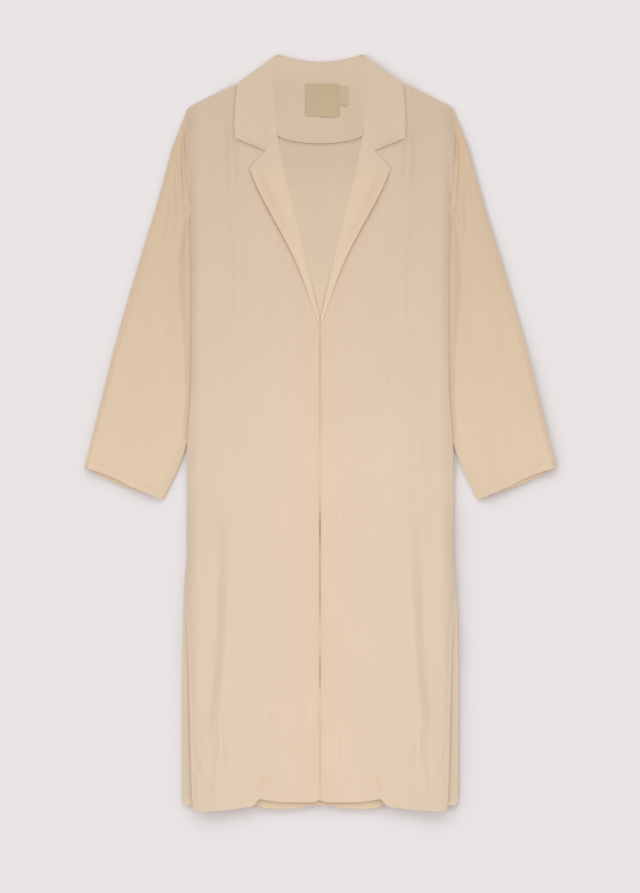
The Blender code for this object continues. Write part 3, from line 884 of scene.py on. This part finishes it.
def lengths(points):
    """Distance along each row of points from its first point."""
    steps = norm(np.diff(points, axis=-2), axis=-1)
    return np.insert(np.cumsum(steps, axis=-1), 0, 0, axis=-1)


def flat_map(grid, turn=0.0):
    """Map of a piece that lies flat: its plan in metres, turned by an angle in degrees."""
    x, y = grid[..., 0], grid[..., 1]
    cos, sin = math.cos(math.radians(turn)), math.sin(math.radians(turn))
    return np.stack([x * cos - y * sin, x * sin + y * cos], axis=-1)


def turned_map(grid):
    """Map of a turned piece in metres: along each section, and along its outer edge."""
    along = lengths(grid[:, 0])[:, None]
    return np.stack(np.broadcast_arrays(lengths(grid), along), axis=-1)


def with_rims(points, axis):
    """The grid with one more row or column close to each of its two edges."""
    rows = np.moveaxis(points, axis, 0)
    first = rows[:1] + RIM_SHARE * (rows[1:2] - rows[:1])
    last = rows[-1:] + RIM_SHARE * (rows[-2:-1] - rows[-1:])
    return np.moveaxis(np.concatenate([rows[:1], first, rows[1:-1], last, rows[-1:]]), 0, axis)


def add_piece(name, points, faces, material):
    """A new smooth piece, which rides with the coat's one body."""
    mesh = bpy.data.meshes.new(name)
    mesh.from_pydata(points.reshape(-1, 3).tolist(), [], faces)
    mesh.polygons.foreach_set("use_smooth", np.ones(len(faces), bool))
    mesh.materials.append(material)
    piece = bpy.data.objects.new(name, mesh)
    bpy.context.scene.collection.objects.link(piece)
    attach(piece, "root")
    return piece


def cloth_piece(name, grid, material, wall=CLOTH, offset=1, cloth_map=None, closed=False):
    """A sheet through a grid of points, in rings if it is closed, which Solidify gives its wall.

    The grid is the sheet's underside where the offset is 1, its middle at 0, and its outside at -1.
    """
    cloth_map = flat_map(grid) if cloth_map is None else cloth_map
    for axis in (0,) if closed else (0, 1):
        grid = with_rims(grid, axis)
        cloth_map = with_rims(cloth_map, axis)
    rows, columns = grid.shape[:2]
    number = np.arange(rows * columns).reshape(rows, columns)
    if closed:
        number = np.hstack([number, number[:, :1]])
    faces = quads(number)
    piece = add_piece(name, grid, faces.tolist(), material)
    piece.data.uv_layers.new(name=CLOTH_MAP).data.foreach_set("uv", cloth_map.reshape(-1, 2)[faces].ravel())
    solid = piece.modifiers.new("wall", "SOLIDIFY")
    solid.thickness = wall * MM
    solid.offset = offset
    return piece


def quads(number):
    """Corners of the faces between rows and columns of point numbers."""
    corners = [number[:-1, :-1], number[:-1, 1:], number[1:, 1:], number[1:, :-1]]
    return np.stack(corners, axis=-1).reshape(-1, 4)


def on_side(grid, side):
    """The +X side's grid, or its mirror image on the -X side with its faces still pointing the same way."""
    return grid if side > 0 else grid[:, ::-1] * (-1, 1, 1)


def lay(node_name):
    """The piece stands for its solid, which is hidden."""
    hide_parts(node_name)


def stitch_row(name, path, material):
    """Stitches along a path of points in metres, each a short thread that dips into the cloth at its ends."""
    run = lengths(path)
    starts = np.arange(0.5 * STITCH_STEP, run[-1] / MM - STITCH, STITCH_STEP) * MM
    share, thickness, arch = STITCH_SHAPE.values()
    radius = THREAD * MM / 2 * thickness[:, None, None]
    corners = np.radians([45, 135, 225, 315])
    first = np.arange(len(share) * len(corners)).reshape(len(share), len(corners))
    points, faces = [], []
    for start in starts:
        at = start + STITCH * MM * share
        centre = np.stack([np.interp(at, run, path[:, k]) for k in range(3)], axis=-1)
        ahead = centre[-1] - centre[0]
        aside = np.array([-ahead[1], ahead[0], 0]) / np.hypot(ahead[0], ahead[1])
        centre[:, 2] += THREAD * MM * arch
        out = np.outer(np.cos(corners), aside) + np.outer(np.sin(corners), (0, 0, 1))
        number = first + first.size * len(points)
        faces += quads(np.hstack([number, number[:, :1]])).tolist()
        faces += [number[0, ::-1].tolist(), number[-1].tolist()]
        points.append(centre[:, None] + radius * out)
    return add_piece(name, np.concatenate(points), faces, material)


# Body panels

def make_back(linen):
    levels = body_levels()
    across = side_edge(levels) * (1 - 2 * fine_ends(BACK_COLUMNS))
    down = body_down(np.abs(across), levels, BACK_HEM)
    grid = place(across, down, back_top(across, down) - CLOTH)
    back = cloth_piece("back_cloth", grid, linen)
    lay("back")


def back_top(across, down):
    """Upper face of the back, creases and all."""
    width = np.abs(across)
    uneven = creases_across(BACK_CREASES, across, down)
    uneven = np.maximum(uneven + FLAT_CRINKLE * crinkle(across, down, CRINKLE_SEEDS["back"]), 0)
    uneven = uneven * rise(side_edge(down) - width, BACK_SIDE_FADE)
    meet = rise(down, ROLL_DIP_START) * fall(down, BACK_MEET_END)
    meet = meet * fall(np.abs(width - roll_line(down)), BACK_MEET_REACH)
    return back_height(width, down) + CLOTH + uneven + BACK_MEET * meet


def make_front(hand, side, linen):
    levels = body_levels()
    outer = front_side(levels)
    begin = roll_line(levels)
    for _ in range(BEGIN_PASSES):
        begin = front_begin(body_down(begin, levels, FRONT_HEM))
    across = outer + (begin - outer) * fine_ends(FRONT_COLUMNS)
    down = body_down(across, levels, FRONT_HEM)
    grid = on_side(place(across, down, front_height(side, across, down)), side)
    front = cloth_piece(f"front_{hand}_cloth", grid, linen)
    lay(f"front_{hand}")


# Sleeves

def sleeve_edges(share):
    """The two folded edges of the sleeve at one section, each as (across, down), and its loft."""
    rows = np.arange(len(SLEEVE["loft"]), dtype=float)
    values = [curve(share * rows[-1], rows, column) for column in SLEEVE.values()]
    return np.array(values[0:2]), np.array(values[2:4]), values[4]


def half_round(across, down, ahead, radius):
    """Fold at a flattened edge, from its underside up, on the left of the direction that the edge runs in."""
    step = radius * np.sin(FOLD_ANGLES)
    level = radius * (1 - np.cos(FOLD_ANGLES))
    return place(across + ahead[1] * step, down - ahead[0] * step, level)


def sleeve_ahead(share):
    """Directions of the sleeve's outer and inner folds, towards the cuff."""
    before = sleeve_edges(share - SLEEVE_EDGE_STEP)
    after = sleeve_edges(share + SLEEVE_EDGE_STEP)
    return [(after[i] - before[i]) / norm(after[i] - before[i]) for i in (0, 1)]


def cuff_bow(share, steps, span):
    """1 in the middle of a span of the cuff, 0 at its ends and up the sleeve."""
    across_cuff = np.clip((steps - span[0]) / (span[1] - span[0]), 0, 1)
    return rise(share, CUFF_SHOWS_FROM) * np.sin(math.pi * across_cuff)


def sleeve_rise(share, run):
    """How far the sleeve's underside stands off the floor, by the distance from its outer fold."""
    return SLEEVE_RISE * rise(share, SLEEVE_RISE_START) * fall(run, SLEEVE_RISE_REACH)


def armhole_shape(steps):
    """How far the armhole's curve lies outside a straight line between the ends of the first section."""
    outer, inner, _ = sleeve_edges(0.0)
    across, down = between(outer, inner, steps).T
    from_armpit = (1 - steps) * norm(inner - outer)
    room = ARMPIT_ROOM * fall(from_armpit, (0, ARMPIT_REACH))
    return side_edge(down) + room - across


def sleeve_top(side, share, steps):
    """Top of the flattened sleeve at one section, from outer to inner fold: across, down and height."""
    outer, inner, loft = sleeve_edges(share)
    width = norm(inner - outer)
    run = steps * width
    across, down = between(outer, inner, steps).T
    across = across + armhole_shape(steps) * max(0, 1 - share / ARMHOLE_FADE)
    beside = rise(across - side_edge(down), row_at(SLEEVE_BESIDE, down))
    swell = rounded(run, (0, look_up(SLEEVE_OUTER_SWELL, share, "reach")))
    swell = swell * np.minimum(rounded(width - run, SLEEVE_INNER_SWELL), beside)
    uneven = creases(SLEEVE_CREASES, side, across, down)
    uneven = uneven + crinkle(side * across, down, CRINKLE_SEEDS["sleeve"])
    uneven = uneven + CUFF_BAND * rise((share - 1) * SLEEVE_LENGTH + CUFF_STITCH, CUFF_BAND_EDGE)
    height = sleeve_rise(share, run) + SLEEVE_PRESSED + swell * np.maximum(loft + uneven, 0)
    seam = np.maximum(front_height(side, side_edge(down), down) + ARMHOLE_MEET * CLOTH, SLEEVE_PRESSED)
    height = height + (seam - height) * fall(share, ARMHOLE_BLEND)
    back = CUFF_BOW * cuff_bow(share, steps, CUFF_BOW_SPAN)
    ahead, _ = sleeve_ahead(share)
    return across - ahead[0] * back, down - ahead[1] * back, height


def sleeve_ring(side, share):
    """Outside of the flattened sleeve at one section: outer fold, top, inner fold and underside."""
    across, down, top = sleeve_top(side, share, fine_ends(SLEEVE_COLUMNS))
    upper = place(across, down, top)
    ahead, inner_ahead = sleeve_ahead(share)
    radius = SLEEVE_PRESSED / 2
    outer_fold = half_round(across[0], down[0], ahead, radius)
    outer_fold[:, 2] += sleeve_rise(share, 0.0) * MM
    inner_fold = half_round(across[-1], down[-1], -inner_ahead, radius)
    steps = fine_ends(SLEEVE_UNDER_COLUMNS)
    across, down, _ = sleeve_top(side, share, steps)
    shows = CUFF_SHOWS * cuff_bow(share, steps, CUFF_SHOWS_SPAN)
    shows = shows + CUFF_BOW * cuff_bow(share, steps, CUFF_BOW_SPAN)
    outer, inner, _ = sleeve_edges(share)
    level = sleeve_rise(share, steps * norm(inner - outer))
    level = level + CUFF_RISE * cuff_bow(share, steps, WHOLE)
    lower = place(across + ahead[0] * shows, down + ahead[1] * shows, level)
    return np.concatenate([outer_fold, upper, inner_fold[::-1], lower[::-1]])


def sleeve_shares():
    rows = zip(*SLEEVE_RINGS.values())
    spans = [np.linspace(start, stop, int(count), endpoint=False) for start, stop, count in rows]
    return np.append(np.concatenate(spans), 1.0)


def make_sleeve(hand, side, linen, thread):
    grid = on_side(np.array([sleeve_ring(side, share) for share in sleeve_shares()]), side)
    cloth_map = flat_map(grid, -side * SLEEVE_SLANT)
    sleeve = cloth_piece(f"sleeve_{hand}_cloth", grid, linen, offset=-1, cloth_map=cloth_map, closed=True)
    seam_steps = np.linspace(*CUFF_STITCH_SPAN, SEAM_POINTS)
    seam = place(*sleeve_top(side, 1 - CUFF_STITCH / SLEEVE_LENGTH, seam_steps)) * (side, 1, 1)
    cuff = stitch_row(f"cuff_{hand}_stitches", seam, thread)
    lay(f"sleeve_{hand}")


# Collar and lapels

LEAF_STEPS = fine_ends(LEAF_COLUMNS)  # from the outer edge to the roll line
UNDER_STEPS = np.linspace(0, 1, UNDER_COLUMNS)


def folded_section(leaf, under):
    """A section of turned cloth: the leaf from its outer edge, a half-round turn, then the part under it."""
    half = (leaf[-1] - under[0]) / 2
    middle = (leaf[-1] + under[0]) / 2
    ahead = leaf[-1] - leaf[-2]
    ahead = ahead - half * (ahead @ half) / (half @ half)
    ahead = ahead / norm(ahead) * min(norm(half), ROLL_REACH * MM)
    turn = middle + np.outer(np.cos(FOLD_ANGLES), half) + np.outer(np.sin(FOLD_ANGLES), ahead)
    return np.concatenate([leaf, turn, under])


def edge_lift(edge, roll, lift):
    """How much the leaf rises towards its outer edge."""
    from_edge = LEAF_STEPS * norm(np.subtract(roll, edge))
    return lift * fall(from_edge, LEAF_LIFT_REACH)


def roll_dip(down):
    """How far the turn is pressed down, less where little of it goes on under the leaf."""
    return ROLL_DIP * rise(down, ROLL_DIP_START) * np.minimum(turn_under(down) / ROLL_DIP_FULL, 1)


def front_section(side, edge, roll, folds, lift, drop=0.0, swing=0.0, end_lift=0.0):
    """Section of a collar leaf or a lapel.

    Drop lowers its middle, swing turns the part under it down, and end_lift raises it as far as the notch.
    """
    across, down = between(edge, roll, LEAF_STEPS).T
    down = down + drop * np.minimum(LEAF_STEPS / NOTCH_STEP, (1 - LEAF_STEPS) / (1 - NOTCH_STEP))
    reach = turn_under(roll[1])
    under_across = roll[0] + reach * math.cos(swing) * UNDER_STEPS
    under_down = roll[1] + reach * math.sin(swing) * UNDER_STEPS
    height = leaf_height(side, across, down) + edge_lift(edge, roll, lift)
    height = height + end_lift * fall(LEAF_STEPS, NOTCH_SEWN)
    from_roll = (1 - LEAF_STEPS) * norm(np.subtract(roll, edge))
    height = height - roll_dip(roll[1]) * fall(from_roll, (0, reach))
    uneven = np.maximum(creases(folds, side, across, down), -LAY_GAP / 2)
    height = height + uneven * rise(height, LEAF_CREASE_FADE)
    under_height = front_height(side, under_across, under_down) + CLOTH / 2
    return folded_section(place(across, down, height), place(under_across, under_down, under_height))


def collar_leaf_section(side, share):
    roll_down = ROLL_LINE["down"][0] + share * (GORGE_DOWN - ROLL_LINE["down"][0])
    edge = row_at(COLLAR_EDGE, share)
    roll = [roll_line(roll_down), roll_down]
    notch_line = edge[1] + (roll[1] - edge[1]) * NOTCH_STEP
    drop = (NOTCH_DOWN - notch_line) * rise(share, NOTCH_REACH)
    swing = math.radians(STAND_SWING) * fall(share, STAND_SWING_SPAN)
    end_lift = COLLAR_END_LIFT * rise(share, COLLAR_END)
    return front_section(side, edge, roll, COLLAR_CREASES, COLLAR_LIFT, drop, swing, end_lift)


def stand_lift(across, down):
    """How far the stand comes up to the facing, from the collar's turn to the neck seam."""
    return (STAND_RISE + facing_side_lift(across, down)) * rounded(UNDER_STEPS, STAND_RISE_SPAN)


def collar_wrap_section(side, angle):
    """Section over the shoulder, where leaf and stand turn round the shoulder's edge to go under the back."""
    turn = math.radians(angle)
    edge = np.array([COLLAR_EDGE["across"][0], COLLAR_EDGE["down"][0]])
    roll = np.array([ROLL_LINE["across"][0], ROLL_LINE["down"][0]])
    axis = (roll - edge) / norm(roll - edge)
    outward = np.array([-axis[1], axis[0]])
    line = between(edge, roll, LEAF_STEPS)
    leaf_top = leaf_height(side, *line.T) + edge_lift(edge, roll, COLLAR_LIFT)
    leaf_low = TURNED_CLOTH / 2
    under_top = front_height(side, *roll) + CLOTH / 2
    under_low = back_height(*roll) + CLOTH / 2
    leaf = line + outward * math.cos(turn) * WRAP_REACH
    # The stand swings on from where it points at the front, angle 90, to straight down at the back, angle -90
    progress = (90 - angle) / 180
    swing = math.radians(STAND_SWING + (90 - STAND_SWING) * progress)
    front_reach = turn_under(roll[1])
    back_reach = top_edge(roll[0]) - roll[1]
    reach = (front_reach + (back_reach - front_reach) * progress) * UNDER_STEPS
    under = roll + outward * math.cos(turn) * (WRAP_REACH - TURNED_CLOTH - LAY_GAP)
    under = under + np.outer(reach, [math.cos(swing), math.sin(swing)])
    leaf_level = (leaf_top + leaf_low) / 2 + math.sin(turn) * (leaf_top - leaf_low) / 2
    under_level = (under_top + under_low) / 2 + math.sin(turn) * (under_top - under_low) / 2
    under_level = under_level + stand_lift(*under.T) * progress
    return folded_section(place(*leaf.T, leaf_level), place(*under.T, under_level))


def collar_fall_section(share):
    """Section behind the neck: the fall under the back, the turn, and the stand down to the neck seam."""
    across = ROLL_LINE["across"][0] * (1 - share)
    roll = np.array([across, look_up(BACK_ROLL, across, "down")])
    edge_across = COLLAR_EDGE["across"][0] * (1 - share)
    bow = 1 - (1 - share) ** 2
    edge_down = COLLAR_EDGE["down"][0] + (COLLAR_BACK_DEPTH - COLLAR_EDGE["down"][0]) * bow
    edge = np.array([edge_across, edge_down])
    leaf = between(edge, roll, LEAF_STEPS)
    stand = roll[1] + (top_edge(across) - roll[1]) * UNDER_STEPS
    stand_level = back_height(across, stand) + CLOTH / 2 + stand_lift(across, stand)
    return folded_section(place(*leaf.T, TURNED_CLOTH / 2), place(across, stand, stand_level))


def collar_half(side):
    """Sections of half the collar, from its front edge to the centre back."""
    sections = [collar_leaf_section(side, share) for share in np.linspace(1, 0, LEAF_STATIONS)]
    sections += [collar_wrap_section(side, angle) for angle in WRAP_ANGLES]
    sections += [collar_fall_section(share) for share in np.linspace(0, 1, FALL_STATIONS)]
    return np.array(sections) * (side, 1, 1)


def make_collar(linen):
    grid = np.concatenate([collar_half(1), collar_half(-1)[-2::-1]])
    collar = cloth_piece("collar_cloth", grid, linen, TURNED_CLOTH, 0, turned_map(grid))
    lay("collar")


def lapel_section(side, share):
    roll_down = GORGE_DOWN + share * (ROLL_LINE["down"][-1] - GORGE_DOWN)
    edge = row_at(LAPEL_EDGE, share)
    lift = COLLAR_LIFT + (LAPEL_LIFT - COLLAR_LIFT) * math.sin(math.pi * math.sqrt(share)) ** 2
    lift = lift * fall(share, LAPEL_END)
    return front_section(side, edge, [roll_line(roll_down), roll_down], LAPEL_CREASES, lift)


def make_lapel(hand, side, linen):
    sections = [lapel_section(side, share) for share in np.linspace(0, 1, LAPEL_STATIONS)]
    grid = on_side(np.array(sections), side)
    lapel = cloth_piece(f"lapel_{hand}_cloth", grid, linen, TURNED_CLOTH, 0, turned_map(grid))
    lay(f"lapel_{hand}")


# Back neck facing, label and size tab

def facing_side_lift(across, down):
    """How far the facing comes up to the collar's turn beside it."""
    from_side = roll_line(down) - across
    return FACING_SIDE_LIFT * fall(from_side, FACING_SIDE_REACH)


def facing_top(across, down):
    """Upper face of the facing, whose free lower edge stands off the back."""
    width = np.abs(across)
    from_edge = look_up(FACING_EDGE, width, "down") - down
    free_edge = fall(from_edge, FACING_LIFT_REACH)
    lift = FACING_LIFT * free_edge + facing_side_lift(width, down) * (1 - free_edge)
    uneven = creases_across(FACING_CREASES, across, down)
    uneven = np.maximum(uneven + FLAT_CRINKLE * crinkle(across, down, CRINKLE_SEEDS["facing"]), 0)
    uneven = uneven * rise(down - top_edge(width), FACING_TOP_FADE)
    return back_height(width, down) + 2 * CLOTH + SEAM_GAP + lift + uneven


def make_facing(linen, thread):
    share = np.linspace(0, 1, FACING_STEPS)[:, None]
    step = 1 - 2 * fine_ends(2 * FACING_STEPS + 1)
    side_top, side_end = FACING_TOP["down"][-1], FACING_EDGE["down"][-1]
    across = (roll_line(side_top + share * (side_end - side_top)) + FACING_SIDE_REST) * step
    first = look_up(FACING_TOP, np.abs(across), "down")
    down = first + share * (look_up(FACING_EDGE, np.abs(across), "down") - first)
    grid = place(across, down, facing_top(across, down) - CLOTH)
    facing = cloth_piece("facing_cloth", grid, linen)
    seam_across = np.linspace(-FACING_STITCH_ACROSS, FACING_STITCH_ACROSS, SEAM_POINTS)
    seam_down = look_up(FACING_EDGE, np.abs(seam_across), "down") - FACING_STITCH
    seam_path = place(seam_across, seam_down, facing_top(seam_across, seam_down))
    seam = stitch_row("facing_stitches", seam_path, thread)
    lay("back_neck_facing")


def patch_top(across, down, middle, size):
    """Upper face of a small piece on the facing, whose lower edge waves."""
    from_edge = middle[1] + size[1] / 2 - down
    wave = 0.5 + 0.5 * np.sin((across - middle[0]) / size[0] * 2 * math.pi + LABEL_WAVE_PHASE)
    lift = LABEL_WAVE * wave * fall(from_edge, LABEL_WAVE_REACH)
    return facing_top(across, down) + SEAM_GAP + LABEL_CLOTH + lift


def make_patch(name, node_name, middle, size, twill, thread):
    step = np.linspace(0.5, -0.5, PATCH_STEPS + 1)
    share = fine_ends(PATCH_STEPS + 1)[:, None]
    short = LABEL_CORNER - np.minimum(size[1] * np.minimum(share, 1 - share), LABEL_CORNER)
    inset = LABEL_CORNER - np.sqrt(LABEL_CORNER**2 - short**2)
    across = middle[0] + (size[0] - 2 * inset) * step
    sag = LABEL_SAG * share**2 * np.sin(2 * math.pi * step)
    down = middle[1] + size[1] * (share - 0.5) + sag
    grid = place(across, down, patch_top(across, down, middle, size) - LABEL_CLOTH)
    patch = cloth_piece(name, grid, twill, LABEL_CLOTH)
    inset = np.array(size) / 2 - LABEL_STITCH
    edge = np.linspace(-1, 1, BORDER_POINTS)
    x = middle[0] + inset[0] * np.concatenate([-edge, np.full_like(edge, -1)])
    y = middle[1] + inset[1] * np.concatenate([np.full_like(edge, -1), edge])
    border = stitch_row(name + "_stitches", place(x, y, patch_top(x, y, middle, size)), thread)
    lay(node_name)


# Floor, light and camera

def make_floor():
    bpy.ops.mesh.primitive_plane_add(size=FLOOR_SIZE, location=(0, 0, -FLOOR_DROP))
    floor = bpy.context.object
    floor.name = "floor"
    finish = {"Base Color": (*FLOOR_COLOUR, 1), "Roughness": 1, "Specular IOR Level": 0}
    material, _ = new_material("floor", finish)
    floor.data.materials.append(material)
    return floor


def make_dome():
    world = bpy.data.worlds.new("dome")
    bpy.context.scene.world = world
    world.use_nodes = True
    light = world.node_tree.nodes["Background"].inputs
    light["Color"].default_value = (*DOME_COLOUR, 1)
    light["Strength"].default_value = DOME_LIGHT


def make_lamps(lamps, pieces):
    """Soft lamps that light only these pieces."""
    lit = bpy.data.collections.new("lit pieces")
    for piece in pieces:
        lit.objects.link(piece)
    for azimuth, elevation, soft_angle, strength in zip(*lamps.values()):
        lamp = bpy.data.lights.new("lamp", "SUN")
        lamp.energy = strength
        lamp.color = LAMP_COLOUR
        lamp.angle = math.radians(soft_angle)
        sun = bpy.data.objects.new("lamp", lamp)
        # Azimuth 0 stands above the collar and 90 on the side of +X
        sun.rotation_euler = (-math.radians(90 - elevation), 0, -math.radians(azimuth))
        sun.light_linking.receiver_collection = lit
        bpy.context.scene.collection.objects.link(sun)


def make_camera():
    lens = bpy.data.cameras.new("camera")
    lens.sensor_width = SENSOR
    lens.lens = SENSOR * CAMERA_HEIGHT / FRAME_HEIGHT
    camera = bpy.data.objects.new("camera", lens)
    camera.location = (0, FRAME_MIDDLE, CAMERA_HEIGHT)
    bpy.context.scene.collection.objects.link(camera)
    bpy.context.scene.camera = camera
    bpy.context.scene.view_settings.view_transform = "Standard"


def make_coat():
    linen = cloth_material("linen", LINEN, ALONG_PAINTED_SHADE, ACROSS_PAINTED_SHADE)
    back_linen = cloth_material("back linen", LINEN_BACK, BACK_PAINTED_LIGHT_AND_SHADE, NO_TINT)
    collar_linen = cloth_material("collar linen", LINEN_COLLAR, ALONG_PAINTED_SHADE, NO_TINT)
    lapel_linen = cloth_material("lapel linen", LINEN_LAPEL, LAPEL_PAINTED_SHADE, NO_TINT)
    facing_linen = cloth_material("facing linen", LINEN_INSIDE, FACING_PAINTED_SHADE, NO_TINT)
    sleeve_linen = cloth_material("sleeve linen", LINEN_SLEEVE, SLEEVE_PAINTED_SHADE, NO_TINT)
    twill = cloth_material("label twill", TWILL, ALONG_PAINTED_SHADE, NO_TINT, TWILL_PERIOD)
    pale_twill = cloth_material("tab twill", TWILL_PALE, ALONG_PAINTED_SHADE, NO_TINT, TWILL_PERIOD)
    thread = thread_material()
    for hand, side in SIDES:
        make_sleeve(hand, side, sleeve_linen, thread)
    make_collar(collar_linen)
    make_back(back_linen)
    for hand, side in SIDES:
        make_front(hand, side, linen)
        make_lapel(hand, side, lapel_linen)
    make_facing(facing_linen, thread)
    make_patch("label_cloth", "label", LABEL_MIDDLE, LABEL_SIZE, twill, thread)
    tab_across = LABEL_MIDDLE[0] + (LABEL_SIZE[0] + TAB_SIZE[0]) / 2
    make_patch("size_tab_cloth", "size_tab", (tab_across, TAB_DOWN), TAB_SIZE, pale_twill, thread)


floor = make_floor()
make_dome()
make_camera()
make_coat()
make_lamps(FLOOR_LAMPS, [floor])
meshes = [piece for piece in bpy.context.scene.objects if piece.type == "MESH"]
make_lamps(COAT_LAMPS, [piece for piece in meshes if piece is not floor])
